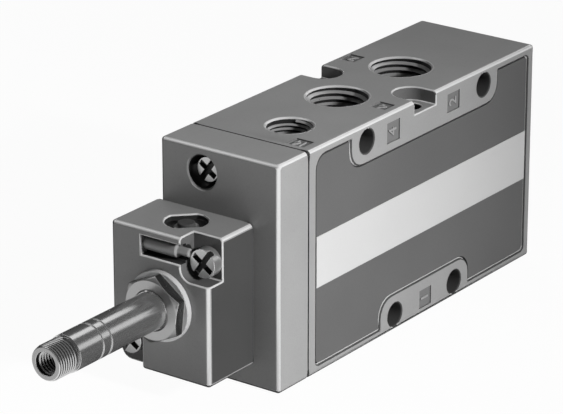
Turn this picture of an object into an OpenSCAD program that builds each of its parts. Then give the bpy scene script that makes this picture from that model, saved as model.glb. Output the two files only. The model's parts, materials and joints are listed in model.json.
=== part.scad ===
// Five-port, two-position air valve with one solenoid pilot, without its coil.
// Millimetres. X runs along the spool, away from the armature tube, and Z is up.
// The origin is the middle of the body's underside.
// Places along X are measured from the joint between the body and the pilot cap.

/* [Valve body] */
// Length of the valve body
body_l = 85; // [84:0.5:95]
// Width of the body and of the pilot cap
body_w = 30; // [29:0.5:36]
// Height of the body and of the pilot cap
body_h = 50; // [47:0.5:60]
// Rounding of the outer edges
edge_r = 0.9; // [0.4:0.1:1.4]

/* [Ports] */
// Distance along the spool from one port to the next, top and bottom taken together
port_pitch = 11.9; // [11.7:0.1:12.3]
// Distance from the cap joint to the middle port
port_mid = 42.9; // [42.3:0.1:43.9]
// Radius at the thread's outer diameter in the main ports
port_r = 6.58; // [6:0.02:6.8]
// Depth of thread in the main ports
port_depth = 12; // [9:0.5:13]
// Radius of the passage from a main port to the spool bore
flow_r = 4; // [3:0.1:4.3]
// Radius at the thread's outer diameter in the pilot supply port
pilot_port_r = 4.86; // [4:0.02:5]
// Depth of thread in the pilot supply port
pilot_port_depth = 8; // [6.5:0.5:10]
// Distance from the cap joint to the pilot supply port
pilot_port_x = 10.35; // [9.5:0.05:11.5]
// Distance of the pilot supply port from the middle of the body, towards the front
pilot_port_off = 2.6; // [1.8:0.1:4]
// Bevel at the mouth of each port
port_bevel = 0.25; // [0.1:0.05:0.5]

/* [Mounting holes] */
// Radius of the holes across the body
side_hole_r = 2.6; // [2:0.05:2.8]
// Metal between a main port and the side hole beside it, both holes taken on average
side_hole_wall = 1.02; // [0.8:0.02:2]
// How far the upper pair of side holes is moved towards the cap
side_hole_shift = 0.4; // [0:0.1:0.5]
// Distance of the upper side holes below the top
top_hole_drop = 3.8; // [3.4:0.1:5]
// Distance of the lower side holes above the underside
low_hole_rise = 3.6; // [3.4:0.1:5]
// Spacing of the lower side holes
low_hole_span = 22.8; // [20:0.2:24]
// Radius of the two holes from top to bottom
down_hole_r = 2.15; // [1.6:0.05:2.3]
// Distance of each of those holes from the middle of the body
down_hole_off = 11.3; // [11.2:0.1:11.8]
// Width of the notch above each of those holes
notch_w = 8; // [6:0.2:8.6]
// Depth of that notch below the top
notch_drop = 3; // [1:0.2:4]
// How far the notches are moved from the middle port towards the cap
notch_shift = 0.9; // [0:0.1:1.4]

/* [Side panels] */
// Depth of the recess in each side of the body
panel_recess = 0.6; // [0.4:0.05:0.8]
// Thickness of the dark panel in the recess
panel_t = 0.4; // [0.2:0.05:0.4]
// Gap between the panel and the edge of its recess
panel_gap = 0.3; // [0.05:0.05:0.3]
// Distance from the recess to the ends of the body
panel_end = 2.5; // [1.5:0.1:4]
// Distance from the recess to the body's underside and top
panel_rim = 1.9; // [1.5:0.1:3]
// Thickness of the light band on each panel
band_t = 0.12; // [0.06:0.02:0.18]
// Height of the band's lower edge
band_z = 19.2; // [16:0.2:22]
// Width of the band
band_w = 11.3; // [8:0.2:14]
// Depth of the upper boss below the top
top_boss_h = 8.6; // [7.6:0.2:10]
// Height of the lower boss
low_boss_h = 8.4; // [7.4:0.2:10]
// Margin of a boss beyond its outermost holes
boss_margin = 5.7; // [4.5:0.1:6]
// Corner radius of the bosses
boss_r = 4.2; // [2:0.2:4.4]

/* [Spool and its seals] */
// Radius of the spool bore
bore_r = 8; // [7.4:0.1:8.3]
// Radius of the spool's lands
land_r = 4.5; // [4:0.05:4.7]
// Radius of the spool between its lands
stem_r = 3; // [2.2:0.1:3.3]
// Stroke of the spool
spool_stroke = 4; // [3.6:0.1:4.2]
// Distance of a land from the seal that it has just left
land_clear = 0.35; // [0.2:0.05:0.4]
// Width of each spool seal
seal_w = 2.6; // [2.2:0.1:2.8]
// Wall of the spacer rings between the seals
spacer_wall = 2.3; // [1.6:0.1:2.6]
// Radius of the cross holes in the spacers
spacer_hole_r = 2.4; // [1.6:0.1:3]
// Running clearance of the moving pieces, on the radius
run_gap = 0.05; // [0.03:0.01:0.08]
// Clearance between pieces that stand still, on the radius
seat_gap = 0.06; // [0.04:0.01:0.1]
// Clearance left where a piece is pressed in
press_gap = 0.02; // [0.01:0.01:0.04]

/* [Pilot piston] */
// Radius of the pilot piston's chamber
chamber_r = 9; // [8.4:0.1:10]
// Depth of the chamber in the body
chamber_depth = 9; // [8:0.1:9.5]
// Depth of the chamber in the cap
chamber_cap_depth = 4.4; // [4:0.1:4.8]
// Thickness of the piston
piston_t = 5; // [4.4:0.1:6]
// Radius of the cross section of the piston's seal
piston_seal_r = 0.8; // [0.6:0.05:1]

/* [Rear end] */
// Depth of the end plug's hollow
plug_hollow = 7.2; // [6.4:0.1:8]
// Width of the groove for the retaining ring
ring_w = 1; // [0.8:0.1:1.2]
// Depth of that groove
ring_groove = 0.6; // [0.4:0.05:0.8]
// Metal between the retaining ring and the body's rear face
ring_setback = 0.8; // [0.6:0.1:1]
// Mean radius of the return spring
return_r = 2.5; // [2:0.1:2.6]
// Wire radius of the return spring
return_wire = 0.35; // [0.2:0.05:0.4]
// Depth of the spring hole in the spool
spring_hole = 13; // [10:0.5:15]

/* [Pilot cap] */
// Thickness of the cap together with its gasket
cap_t = 10.4; // [9.8:0.1:14]
// Thickness of the gasket
gasket_t = 0.4; // [0.2:0.05:0.8]
// How far the gasket lies inside the outer faces
gasket_inset = 0.4; // [0.2:0.05:1]
// Height of the upper cap screw below the top
cap_screw_drop = 5.6; // [5.2:0.1:7]
// Height of the lower cap screw above the underside
cap_screw_rise = 10; // [9:0.1:10.6]
// Distance of the cap screws from the middle of the cap
cap_screw_off = 4.4; // [3.8:0.1:6]
// Radius of the hole for a cap screw's head
cap_recess_r = 3.6; // [3:0.05:3.9]
// Depth of the hole for a cap screw's head
cap_recess_depth = 4; // [3.4:0.1:5]
// Bevel at the mouth of that hole
cap_recess_bevel = 0.4; // [0.2:0.05:0.6]

/* [Screws] */
// Radius of the screw threads
screw_r = 1.5; // [1.2:0.05:1.6]
// Radius of the cap screws' heads
cap_head_r = 2.7; // [2.2:0.05:2.9]
// Height of the cap screws' heads
cap_head_h = 2; // [1.4:0.1:2.4]
// Thread length of the cap screws in the body
cap_screw_grip = 8; // [5:0.5:9]
// Radius of the block screws' heads
block_head_r = 3.1; // [2.6:0.05:3.3]
// Height of the block screws' heads
block_head_h = 2.5; // [1.8:0.1:3]
// Thread length of the block screws in the cap
block_screw_grip = 5; // [3.5:0.1:5.2]
// Depth of the slots in the screw heads
slot_depth = 1.1; // [0.6:0.05:1.3]
// Width of the slots in the screw heads
slot_w = 1.2; // [0.6:0.05:1.3]
// Length of the shorter slot in each screw head, in head radii
short_slot = 1.7; // [1.2:0.05:1.9]
// Turn of the slots about the screw
slot_turn = 35; // [0:1:89]

/* [Pilot block] */
// Length of the block in front of the cap
block_t = 14.9; // [14.9:0.1:18]
// Width of the block
block_w = 24.8; // [24:0.1:26]
// Height of the block
block_h = 31.2; // [30:0.1:34]
// Distance of the block's middle from the middle of the cap, towards the back
block_off = 3.85; // [3:0.05:4.2]
// Height of the block's middle above the underside
block_z = 20.6; // [19:0.1:24]
// Rounding of the block's edges
block_edge_r = 0.9; // [0.4:0.1:1.2]
// Distance of the upper block screw from the side of the block next to it
up_screw_side = 3.25; // [3.1:0.05:3.5]
// Distance of the upper block screw below the block's top
up_screw_drop = 5.4; // [5:0.05:5.6]
// Distance of the lower block screw from the side of the block next to it
low_screw_side = 4.15; // [3.9:0.05:4.2]
// Distance of the lower block screw above the block's underside
low_screw_rise = 5.8; // [5.4:0.05:6]
// Corner radius of the notches over the screws
block_notch_r = 2.5; // [1:0.1:3]
// Depth of the notch at the upper screw
up_notch_t = 4.7; // [4.2:0.1:5.6]
// Depth of the notch at the lower screw
low_notch_t = 2.6; // [2.2:0.1:3.2]
// Width of the notch at the upper screw
up_notch_w = 7.2; // [6.8:0.1:7.6]
// Height of the notch at the upper screw
up_notch_h = 9.2; // [9:0.1:9.8]
// Width of the notch at the lower screw
low_notch_w = 7.6; // [7.5:0.1:8]
// Height of the notch at the lower screw
low_notch_h = 9.2; // [9:0.1:9.8]

/* [Stepped pin] */
// Depth of the window in the block's front
window_t = 2; // [1.4:0.1:2.4]
// Height of the window
window_h = 4.2; // [3.8:0.1:4.4]
// Length of the window from the notch at the upper screw
window_l = 10; // [7:0.2:11]
// Distance of the window's middle below the block's top
window_drop = 3.8; // [3.6:0.1:4]
// Radius of the pin
pin_r = 1.6; // [1.2:0.05:1.65]
// Radius of the pin's thin end
pin_tip_r = 0.9; // [0.6:0.05:1.1]
// Length of the pin's thin end
pin_tip_l = 2.8; // [1:0.1:2.9]
// Length of the pin's thick part
pin_l = 12.4; // [10:0.1:13]
// Distance of the pin's middle behind the block's front
pin_depth = 2.3; // [2.2:0.05:2.5]

/* [Manual override] */
// Distance from the block's front to the override button
button_x = 8.3; // [8:0.05:8.6]
// Radius of the button
button_r = 1.85; // [1.6:0.05:2]
// How far the button stands below the block's top
button_drop = 0.2; // [0:0.05:0.5]
// Travel of the button
button_stroke = 1.2; // [0.6:0.05:1.3]
// Radius of the recess round the button
bayonet_r = 4.5; // [4:0.05:4.8]
// Distance from the button's middle to the straight sides of the recess
bayonet_flat = 3.6; // [3.2:0.05:3.9]
// Depth of the recess
bayonet_depth = 1.2; // [0.8:0.05:1.3]
// Wall of the bush that guides the button
bush_wall = 0.7; // [0.6:0.05:0.8]
// Length of the bush
bush_l = 3.4; // [3:0.1:3.6]
// Height of the button's collar
collar_h = 1; // [0.7:0.05:1.1]
// Radius of the button's stem
button_stem_r = 0.9; // [0.6:0.05:1]
// Height of the space for the button's spring
button_spring_h = 2.9; // [2.6:0.1:3]

/* [Armature tube] */
// Distance of the tube's axis from the middle of the block, towards the front
tube_shift = 0.5; // [0:0.05:0.8]
// Outer radius of the tube
tube_r = 4; // [3.96:0.01:4.1]
// Distance from the block's front to the tube's thread
tube_l = 30.6; // [27:0.2:34]
// Outer radius of the tube inside its nut
tube_neck_r = 4.3; // [4.2:0.01:4.5]
// Radius of the tube's flange
flange_r = 5.3; // [4.9:0.05:5.4]
// Thickness of the flange
flange_t = 1.2; // [0.8:0.1:1.6]
// Radius of the thread for the coil's nut
coil_thread_r = 3.8; // [3.5:0.01:3.84]
// Length of the thread for the coil's nut
coil_thread_l = 6; // [5.6:0.1:8]
// Bevel at the end of that thread
coil_thread_bevel = 0.4; // [0.2:0.05:1]
// Radius of the threaded hole in the tube's end
end_hole_r = 2.5; // [2:0.05:2.55]
// Depth of that threaded hole
end_hole_depth = 5.8; // [4:0.1:5.9]
// Distance from the nut's face to the first of the two rolled grooves
groove_x = 17.2; // [12:0.1:18]
// Distance between the two rolled grooves
groove_gap = 2.6; // [1.6:0.1:4]
// Width of a rolled groove
groove_w = 0.5; // [0.3:0.05:0.8]
// Depth of a rolled groove
groove_depth = 0.2; // [0.16:0.01:0.25]

/* [Tube nut] */
// Width across the flats of the nut
nut_af = 13; // [12.4:0.1:14]
// Height of the nut's hexagon
nut_h = 2.5; // [2:0.1:4]
// Turn of the hexagon about the tube
nut_turn = 6; // [0:1:59]
// Radius of the nut's thread in the block
nut_thread_r = 5.5; // [5.46:0.01:5.8]
// Length of the nut's thread in the block
nut_thread_l = 3.6; // [3:0.1:3.8]
// Radius of the washer under the nut
washer_r = 7.6; // [7.5:0.05:8]
// Thickness of the washer
washer_t = 1.3; // [0.8:0.05:1.6]

/* [Armature and pilot seat] */
// Radius of the armature
armature_r = 3.2; // [3:0.01:3.25]
// Length of the armature's thick part
armature_l = 25.2; // [22:0.1:27]
// Radius of the armature's neck
neck_r = 2.4; // [2:0.05:2.5]
// Length of the armature's neck
neck_l = 4.1; // [3.9:0.05:4.2]
// Stroke of the armature
armature_stroke = 0.8; // [0.4:0.05:0.9]
// Distance left between armature and core at the end of the stroke
pole_gap = 0.1; // [0.06:0.02:0.3]
// Radius of the rubber seal in the armature
armature_seal_r = 1.5; // [1.2:0.05:1.6]
// Thickness of that seal
armature_seal_t = 1.15; // [0.8:0.05:1.5]
// How far that seal stands out of the armature
armature_seal_out = 0.25; // [0.1:0.05:0.4]
// Distance between the closed seal and the nozzle's rim
seat_open = 0.05; // [0.02:0.01:0.1]
// Radius of the nozzle where it is pressed in
nozzle_r = 1.6; // [1.3:0.05:1.8]
// Radius of the nozzle's rim
nozzle_rim_r = 0.8; // [0.6:0.05:1]
// Radius of the nozzle's bore
nozzle_bore_r = 0.4; // [0.2:0.05:0.5]
// Length of the pilot chamber from the tube's cavity to the nozzle's rim
pilot_chamber_l = 3.8; // [3.6:0.05:4]
// Height of the nozzle in the pilot chamber
nozzle_h = 1; // [0.8:0.05:1.2]
// Radius of the pilot chamber
pilot_chamber_r = 3.6; // [3.4:0.05:3.8]
// Cross section radius of the seal under the tube's flange
tube_seal_r = 0.65; // [0.5:0.05:0.7]
// Mean radius of the armature's spring
armature_spring_r = 1.5; // [1.2:0.05:1.6]
// Wire radius of the armature's spring
armature_wire = 0.2; // [0.15:0.05:0.3]
// Radius of the pilot exhaust through the core
vent_r = 0.7; // [0.4:0.05:1]
// Length of the armature's spring in the core
spring_in_core = 3.2; // [2:0.1:4]
// Length of the armature's spring in the armature
spring_in_armature = 8.8; // [6:0.1:12]

/* [Air channels] */
// Radius of the channels in body and cap
channel_r = 0.8; // [0.5:0.05:1]
// Radius of the channels in the pilot block
fine_channel_r = 0.6; // [0.4:0.05:0.65]
// Height above the underside where the supply crosses to the block
supply_z = 17; // [16.6:0.1:17.4]
// Distance of the outlet from the tube's middle, towards the front
outlet_off = 2.1; // [1.9:0.05:2.3]
// Height of the outlet above the tube's middle
outlet_rise = 1.6; // [1.4:0.05:1.9]
// Cross section radius of the block's seals
block_seal_r = 0.48; // [0.4:0.01:0.5]
// Mean radius of the block's seals
block_seal_mean = 1.6; // [1.5:0.05:1.7]

/* [Hidden] */
$fn = 48;
eps = 0.5;
corner_steps = 5;

// Spool bore: seals and spacers are stacked from the rear against the web behind the piston
bore_z = body_h / 2;
stack_x1 = port_mid - 2.5 * port_pitch - seal_w / 2;
stack_x2 = port_mid + 2.5 * port_pitch + seal_w / 2;
web_r = land_r + run_gap;
stack_play = 0.05;

// Spool: a land's edge stands clear of a seal at one end of the stroke and covers it at the other
function seal_x(i) = port_mid + (i - 2.5) * port_pitch;
function edge_before(i) = seal_x(i) - seal_w / 2 - land_clear;
function edge_after(i) = seal_x(i) + seal_w / 2 + land_clear - spool_stroke;
land_1_end = edge_before(1);
land_2_start = edge_after(2);
land_2_end = edge_before(3);
land_3_start = edge_after(4);
spool_x1 = chamber_depth;
spool_x2 = stack_x2 + 2;
hub_gap = 0.1;

// Pilot piston
piston_x1 = 0.3 - chamber_cap_depth;
piston_x2 = piston_x1 + piston_t;
piston_groove_w = 2 * piston_seal_r + 0.1;

// Rear end
plug_x1 = stack_x2 + stack_play;
ring_x2 = body_l - ring_setback;
ring_x1 = ring_x2 - ring_w;
plug_x2 = ring_x1 - stack_play;
plug_floor_x = plug_x1 + plug_hollow;
plug_hollow_r = land_r + 0.5;
plug_seal_r = 0.65;
plug_seal_x = plug_x1 + 4;
spring_hole_r = return_r + return_wire + 0.15;

// Ports
port_4_x = port_mid - port_pitch;
port_2_x = port_mid + port_pitch;
top_ports = [port_4_x, port_2_x];
low_ports = [port_mid - 2 * port_pitch, port_mid, port_mid + 2 * port_pitch];

// Mounting holes
side_hole_out = port_pitch + port_r + side_hole_r + side_hole_wall;
side_hole_mid = port_mid - side_hole_shift;
top_hole_z = body_h - top_hole_drop;
notch_x = port_mid - notch_shift;
notch_z = body_h - notch_drop;

// Side panels
top_boss = [side_hole_mid - side_hole_out - boss_margin, side_hole_mid + side_hole_out + boss_margin];
low_boss = [port_mid - low_hole_span / 2 - boss_margin, port_mid + low_hole_span / 2 + boss_margin];

// Cap
cap_x1 = -cap_t;
cap_x2 = -gasket_t;
cap_screws_yz = [[cap_screw_off, body_h - cap_screw_drop], [-cap_screw_off, cap_screw_rise]];
cap_seat_x = cap_x1 + cap_recess_depth;
clear_hole_r = screw_r + 0.15;
thread_tip = 0.4;

// Block
block_x1 = cap_x1 - block_t;
block_y1 = block_off - block_w / 2;
block_y2 = block_off + block_w / 2;
block_z1 = block_z - block_h / 2;
block_z2 = block_z + block_h / 2;
block_seats_x = [block_x1 + up_notch_t, block_x1 + low_notch_t];
block_screws_yz = [
    [block_y1 + up_screw_side, block_z2 - up_screw_drop],
    [block_y2 - low_screw_side, block_z1 + low_screw_rise]
];
up_notch_y = block_y1 + up_notch_w;
up_notch_z = block_z2 - up_notch_h;
low_notch_y = block_y2 - low_notch_w;
low_notch_z = block_z1 + low_notch_h;

// Stepped pin, which stops short of the upper screw's head
window_z = block_z2 - window_drop;
pin_x = block_x1 + pin_depth;
pin_tip_y = block_screws_yz[0].x + 0.4
    + sqrt(pow(block_head_r, 2) - pow(window_z - block_screws_yz[0].y, 2));

// Armature tube
tube_y = block_off - tube_shift;
tube_z = block_z;
tube_thread_x = block_x1 - tube_l;
nut_x1 = block_x1 - washer_t - nut_h;
nut_thread_x2 = block_x1 + nut_thread_l;
nut_hole_r = tube_neck_r + 0.1;
flange_x1 = nut_thread_x2 + 0.1;
flange_x2 = flange_x1 + flange_t;
tube_cavity_r = nut_thread_r + seat_gap;
tube_cavity_x2 = flange_x2 + 2 * tube_seal_r + 0.1;
tube_bore_r = armature_r + run_gap;
core_end_x = tube_thread_x - coil_thread_l;
thread_neck_l = 0.5;

// Armature: it is drawn towards the core by its stroke
nozzle_tip_x = tube_cavity_x2 + pilot_chamber_l;
pilot_floor_x = nozzle_tip_x + nozzle_h;
armature_x3 = nozzle_tip_x - seat_open - armature_seal_out;
armature_x2 = armature_x3 - neck_l;
armature_x1 = armature_x2 - armature_l;
core_x2 = armature_x1 - armature_stroke - pole_gap;
armature_bore_r = armature_spring_r + armature_wire + 0.15;
armature_seal_x1 = armature_x3 + armature_seal_out - armature_seal_t;

// Channels in the pilot block
cross_x = pilot_floor_x + 1.8;
cross_channel_r = 0.8 * fine_channel_r;
nozzle_x2 = cross_x - fine_channel_r;
outlet_y = tube_y - outlet_off;
outlet_z = tube_z + outlet_rise;
supply_y = -pilot_port_off;
block_seal_seat_r = block_seal_mean + block_seal_r + 0.1;
block_seal_seat_t = 2 * block_seal_r + 0.04;
supply_x = (cap_x1 - chamber_cap_depth) / 2 + 1;
port_channel_z = body_h - pilot_port_depth + 1;

// Override button, which works down towards the armature's neck
override_x = block_x1 + button_x;
bayonet_z = block_z2 - bayonet_depth;
bush_r = button_r + run_gap + bush_wall;
bush_z = bayonet_z - bush_l;
collar_z2 = bush_z - 0.1;
collar_z1 = collar_z2 - collar_h;
collar_r = bush_r - 0.15;
button_pocket_z = collar_z1 - button_spring_h;
button_tip_z = tube_z + neck_r + button_stroke + 0.4;
button_spring_r = 1.5;
button_wire = 0.18;
button_seal_r = 0.4;
button_seal_z = bush_z + bush_l / 2;

function arc(cx, cy, r, from) = [
    for (i = [0:corner_steps]) let (a = from + 90 * i / corner_steps) [cx + r * cos(a), cy + r * sin(a)]
];

// Outline of a rectangle with a radius for each corner: low left, low right, high right, high left
function rounded(u1, v1, u2, v2, r) = concat(
    arc(u1 + r[0], v1 + r[0], r[0], 180),
    arc(u2 - r[1], v1 + r[1], r[1], 270),
    arc(u2 - r[2], v2 - r[2], r[2], 0),
    arc(u1 + r[3], v2 - r[3], r[3], 90)
);

module from_joint() translate([-body_l / 2, 0, 0]) children();

module x_cyl(r, x1, x2, y = 0, z = bore_z)
    translate([x1, y, z]) rotate([0, 90, 0]) cylinder(r = r, h = x2 - x1);

module x_cone(r1, r2, x1, x2, y, z)
    translate([x1, y, z]) rotate([0, 90, 0]) cylinder(r1 = r1, r2 = r2, h = x2 - x1);

module y_cyl(r, y1, y2, x, z) translate([x, y1, z]) rotate([-90, 0, 0]) cylinder(r = r, h = y2 - y1);

module z_cyl(r, z1, z2, x, y) translate([x, y, z1]) cylinder(r = r, h = z2 - z1);

// Ring along X from a section drawn in radius and distance
module x_turned(x, y = 0, z = bore_z) translate([x, y, z]) rotate([0, 90, 0]) rotate_extrude() children();

// Block with its own radius on each edge: along X for all four, and on the front and rear faces
module rounded_block(x1, x2, y1, y2, z1, z2, r, front_r, rear_r) {
    intersection() {
        translate([x1, 0, 0]) rotate([90, 0, 90]) linear_extrude(x2 - x1) polygon(rounded(y1, z1, y2, z2, r));
        translate([0, y2, 0]) rotate([90, 0, 0]) linear_extrude(y2 - y1)
            polygon(rounded(x1, z1, x2, z2, [front_r, rear_r, rear_r, front_r]));
        translate([0, 0, z1]) linear_extrude(z2 - z1)
            polygon(rounded(x1, y1, x2, y2, [front_r, rear_r, rear_r, front_r]));
    }
}

// Coil spring along Z from a ring of points at each step of its helix
module coil_spring(length, coils, mean_r, wire_r) {
    steps_per_coil = 12;
    sides = 6;
    last = coils * steps_per_coil;
    rise = (length - 2 * wire_r) / last;
    points = [
        for (i = [0:last]) for (j = [0:sides - 1])
            let (a = 360 * i / steps_per_coil, b = 360 * j / sides, r = mean_r + wire_r * cos(b))
                [r * cos(a), r * sin(a), wire_r + rise * i + wire_r * sin(b)]
    ];
    walls = [
        for (i = [0:last - 1]) for (j = [0:sides - 1])
            let (k = (j + 1) % sides, p = i * sides)
                each [[p + j, p + sides + j, p + k], [p + k, p + sides + j, p + sides + k]]
    ];
    first_cap = [for (j = [0:sides - 1]) j];
    last_cap = [for (j = [sides - 1:-1:0]) last * sides + j];
    polyhedron(points, concat(walls, [first_cap, last_cap]));
}

// Thread hole from the top with a bevel at its mouth
module top_port(x, y, r, depth) {
    z_cyl(r, body_h - depth, body_h + eps, x, y);
    translate([x, y, body_h - port_bevel]) cylinder(r1 = r, r2 = r + 2 * port_bevel, h = 2 * port_bevel);
}

module panel_outline(inset) {
    top = body_h - top_boss_h - inset;
    low = low_boss_h + inset;
    corner = edge_r + 0.2;
    boss_corners = boss_r * [1, 1, 1, 1];
    difference() {
        polygon(rounded(
            panel_end + inset, panel_rim + inset, body_l - panel_end - inset, body_h - panel_rim - inset,
            [corner, corner, corner, 3]
        ));
        polygon(rounded(top_boss[0] - inset, top, top_boss[1] + inset, body_h + boss_r, boss_corners));
        polygon(rounded(low_boss[0] - inset, -boss_r, low_boss[1] + inset, low, boss_corners));
    }
}

// A flat piece on the front side, from its outline and its distance below the side's surface
module on_side(below, t)
    translate([0, below + t - body_w / 2, 0]) rotate([90, 0, 0]) linear_extrude(t) children();

module both_sides() {
    children();
    mirror([0, 1, 0]) children();
}

// Notch with a round end above a hole from top to bottom
module down_notch() {
    steps = 16;
    r = notch_w / 2;
    round_end = [
        for (i = [0:steps]) let (a = 180 * i / steps) [notch_x + r * cos(a), r * sin(a) - down_hole_off]
    ];
    far = -body_w / 2 - eps;
    translate([0, 0, notch_z]) linear_extrude(notch_drop + eps)
        polygon(concat(round_end, [[notch_x - r, far], [notch_x + r, far]]));
    z_cyl(down_hole_r, -eps, notch_z + eps, notch_x, -down_hole_off);
}

module valve_body() from_joint() color("darkgray") difference() {
    rounded_block(0, body_l, -body_w / 2, body_w / 2, 0, body_h, edge_r * [1, 1, 1, 1], 0.01, edge_r);
    x_cyl(chamber_r, -eps, chamber_depth);
    x_cyl(web_r, chamber_depth - eps, stack_x1 + eps);
    x_cyl(bore_r, stack_x1, body_l + eps);
    x_cyl(bore_r + ring_groove, ring_x1, ring_x2);
    for (x = top_ports) {
        top_port(x, 0, port_r, port_depth);
        z_cyl(flow_r, bore_z, body_h - port_depth + eps, x, 0);
    }
    for (x = low_ports) {
        translate([0, 0, body_h]) mirror([0, 0, 1]) top_port(x, 0, port_r, port_depth);
        z_cyl(flow_r, port_depth - eps, bore_z, x, 0);
    }
    top_port(pilot_port_x, -pilot_port_off, pilot_port_r, pilot_port_depth);
    x_cyl(channel_r, -eps, pilot_port_x, supply_y, port_channel_z);
    for (s = [-1, 1]) {
        y_cyl(side_hole_r, -body_w, body_w, side_hole_mid + s * side_hole_out, top_hole_z);
        y_cyl(side_hole_r, -body_w, body_w, port_mid + s * low_hole_span / 2, low_hole_rise);
    }
    both_sides() down_notch();
    both_sides() on_side(-eps, panel_recess + eps) panel_outline(0);
    for (p = cap_screws_yz) x_cyl(screw_r + seat_gap, -eps, cap_screw_grip + 1, p.x, p.y);
}

module side_panels() from_joint() color("dimgray") both_sides()
    on_side(panel_recess - panel_t, panel_t) panel_outline(panel_gap);

module band_strips() from_joint() color("gainsboro") both_sides()
    on_side(panel_recess - panel_t - band_t, band_t)
        translate([panel_end + panel_gap, band_z]) square([body_l - 2 * (panel_end + panel_gap), band_w]);

module cap_gasket() from_joint() color("black") difference() {
    translate([-gasket_t, gasket_inset - body_w / 2, gasket_inset])
        cube([gasket_t, body_w - 2 * gasket_inset, body_h - 2 * gasket_inset]);
    x_cyl(chamber_r + 0.2, -1, 1);
    x_cyl(channel_r + 0.2, -1, 1, supply_y, port_channel_z);
    for (p = cap_screws_yz) x_cyl(clear_hole_r, -1, 1, p.x, p.y);
}

module pilot_cap() from_joint() color("darkgray") difference() {
    rounded_block(cap_x1, cap_x2, -body_w / 2, body_w / 2, 0, body_h, edge_r * [1, 1, 1, 1], edge_r, 0.01);
    x_cyl(chamber_r, -chamber_cap_depth, eps);
    for (p = cap_screws_yz) {
        x_cyl(cap_recess_r, cap_x1 - eps, cap_seat_x, p.x, p.y);
        x_cone(cap_recess_r + 2 * cap_recess_bevel, cap_recess_r,
            cap_x1 - cap_recess_bevel, cap_x1 + cap_recess_bevel, p.x, p.y);
        x_cyl(clear_hole_r, cap_x1, eps, p.x, p.y);
    }
    for (p = block_screws_yz)
        x_cyl(screw_r + seat_gap, cap_x1 - eps, cap_x1 + block_screw_grip + 0.3, p.x, p.y);
    x_cyl(channel_r, supply_x, eps, supply_y, port_channel_z);
    z_cyl(channel_r, supply_z, port_channel_z, supply_x, supply_y);
    x_cyl(channel_r, cap_x1 - eps, supply_x, supply_y, supply_z);
    x_cyl(channel_r, cap_x1 - eps, -chamber_cap_depth + eps, outlet_y, outlet_z);
}

// Screw along X with a round head and a cross in it; its thread starts behind the head
module screw(head_r, head_h, seat_x, end_x, y, z) difference() {
    union() {
        x_cyl(head_r, seat_x - head_h, seat_x, y, z);
        x_cyl(screw_r, seat_x, end_x - thread_tip, y, z);
        x_cone(screw_r, screw_r - thread_tip, end_x - thread_tip, end_x, y, z);
    }
    for (slot = [[0, 3], [90, short_slot]])
        translate([seat_x - head_h, y, z]) rotate([slot_turn + slot[0], 0, 0])
            cube([2 * slot_depth, slot_w, slot[1] * head_r], center = true);
}

module cap_screws() from_joint() color("silver")
    for (p = cap_screws_yz) screw(cap_head_r, cap_head_h, cap_seat_x, cap_screw_grip, p.x, p.y);

module pilot_block() from_joint() color("gray") difference() {
    past = block_notch_r + eps;
    corners = block_notch_r * [1, 1, 1, 1];
    rounded_block(block_x1, cap_x1, block_y1, block_y2, block_z1, block_z2,
        [block_edge_r, 3 * block_edge_r, block_edge_r, block_edge_r], block_edge_r, 0.01);
    translate([block_x1 - eps, 0, 0]) rotate([90, 0, 90]) {
        linear_extrude(up_notch_t + eps)
            polygon(rounded(block_y1 - past, up_notch_z, up_notch_y, block_z2 + past, corners));
        linear_extrude(low_notch_t + eps)
            polygon(rounded(low_notch_y, block_z1 - past, block_y2 + past, low_notch_z, corners));
    }
    for (p = block_screws_yz) x_cyl(clear_hole_r, block_x1, cap_x1 + eps, p.x, p.y);
    // window and the hole for the stepped pin
    translate([block_x1 - eps, up_notch_y - 1, window_z - window_h / 2])
        cube([window_t + eps, window_l + 1, window_h]);
    y_cyl(pin_r + seat_gap, up_notch_y - 1, pin_tip_y + pin_tip_l + pin_l + 0.2, pin_x, window_z);
    // tube, pilot chamber and nozzle
    x_cyl(tube_cavity_r, block_x1 - eps, tube_cavity_x2, tube_y, tube_z);
    x_cyl(pilot_chamber_r, tube_cavity_x2 - eps, pilot_floor_x, tube_y, tube_z);
    x_cyl(nozzle_r + press_gap, pilot_floor_x - eps, nozzle_x2, tube_y, tube_z);
    // air channels and the seats of their seals
    x_cyl(fine_channel_r, nozzle_x2 - eps, cross_x + fine_channel_r, tube_y, tube_z);
    slant = atan2(tube_z - supply_z, tube_y - supply_y);
    translate([cross_x, supply_y, supply_z]) rotate([slant, 0, 0])
        y_cyl(cross_channel_r, 0, norm([tube_y - supply_y, tube_z - supply_z]), 0, 0);
    x_cyl(fine_channel_r, cross_x - fine_channel_r, cap_x1 + eps, supply_y, supply_z);
    x_cyl(fine_channel_r, pilot_floor_x - eps, cap_x1 + eps, outlet_y, outlet_z);
    for (p = [[supply_y, supply_z], [outlet_y, outlet_z]])
        x_cyl(block_seal_seat_r, cap_x1 - block_seal_seat_t, cap_x1 + eps, p.x, p.y);
    // override button
    translate([override_x, tube_y, bayonet_z]) linear_extrude(bayonet_depth + eps) rotate(45) intersection() {
        circle(bayonet_r);
        square([2 * bayonet_flat, 3 * bayonet_r], center = true);
    }
    z_cyl(bush_r + press_gap, button_pocket_z, bayonet_z + eps, override_x, tube_y);
    z_cyl(button_stem_r + 0.15, tube_z, button_pocket_z + eps, override_x, tube_y);
}

module block_seals() from_joint() color("black")
    for (p = [[supply_y, supply_z], [outlet_y, outlet_z]])
        x_turned(cap_x1 - block_seal_seat_t / 2, p.x, p.y)
            translate([block_seal_mean, 0]) circle(block_seal_r);

module block_screws() from_joint() color("silver")
    for (i = [0, 1]) let (p = block_screws_yz[i])
        screw(block_head_r, block_head_h, block_seats_x[i], cap_x1 + block_screw_grip, p.x, p.y);

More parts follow.
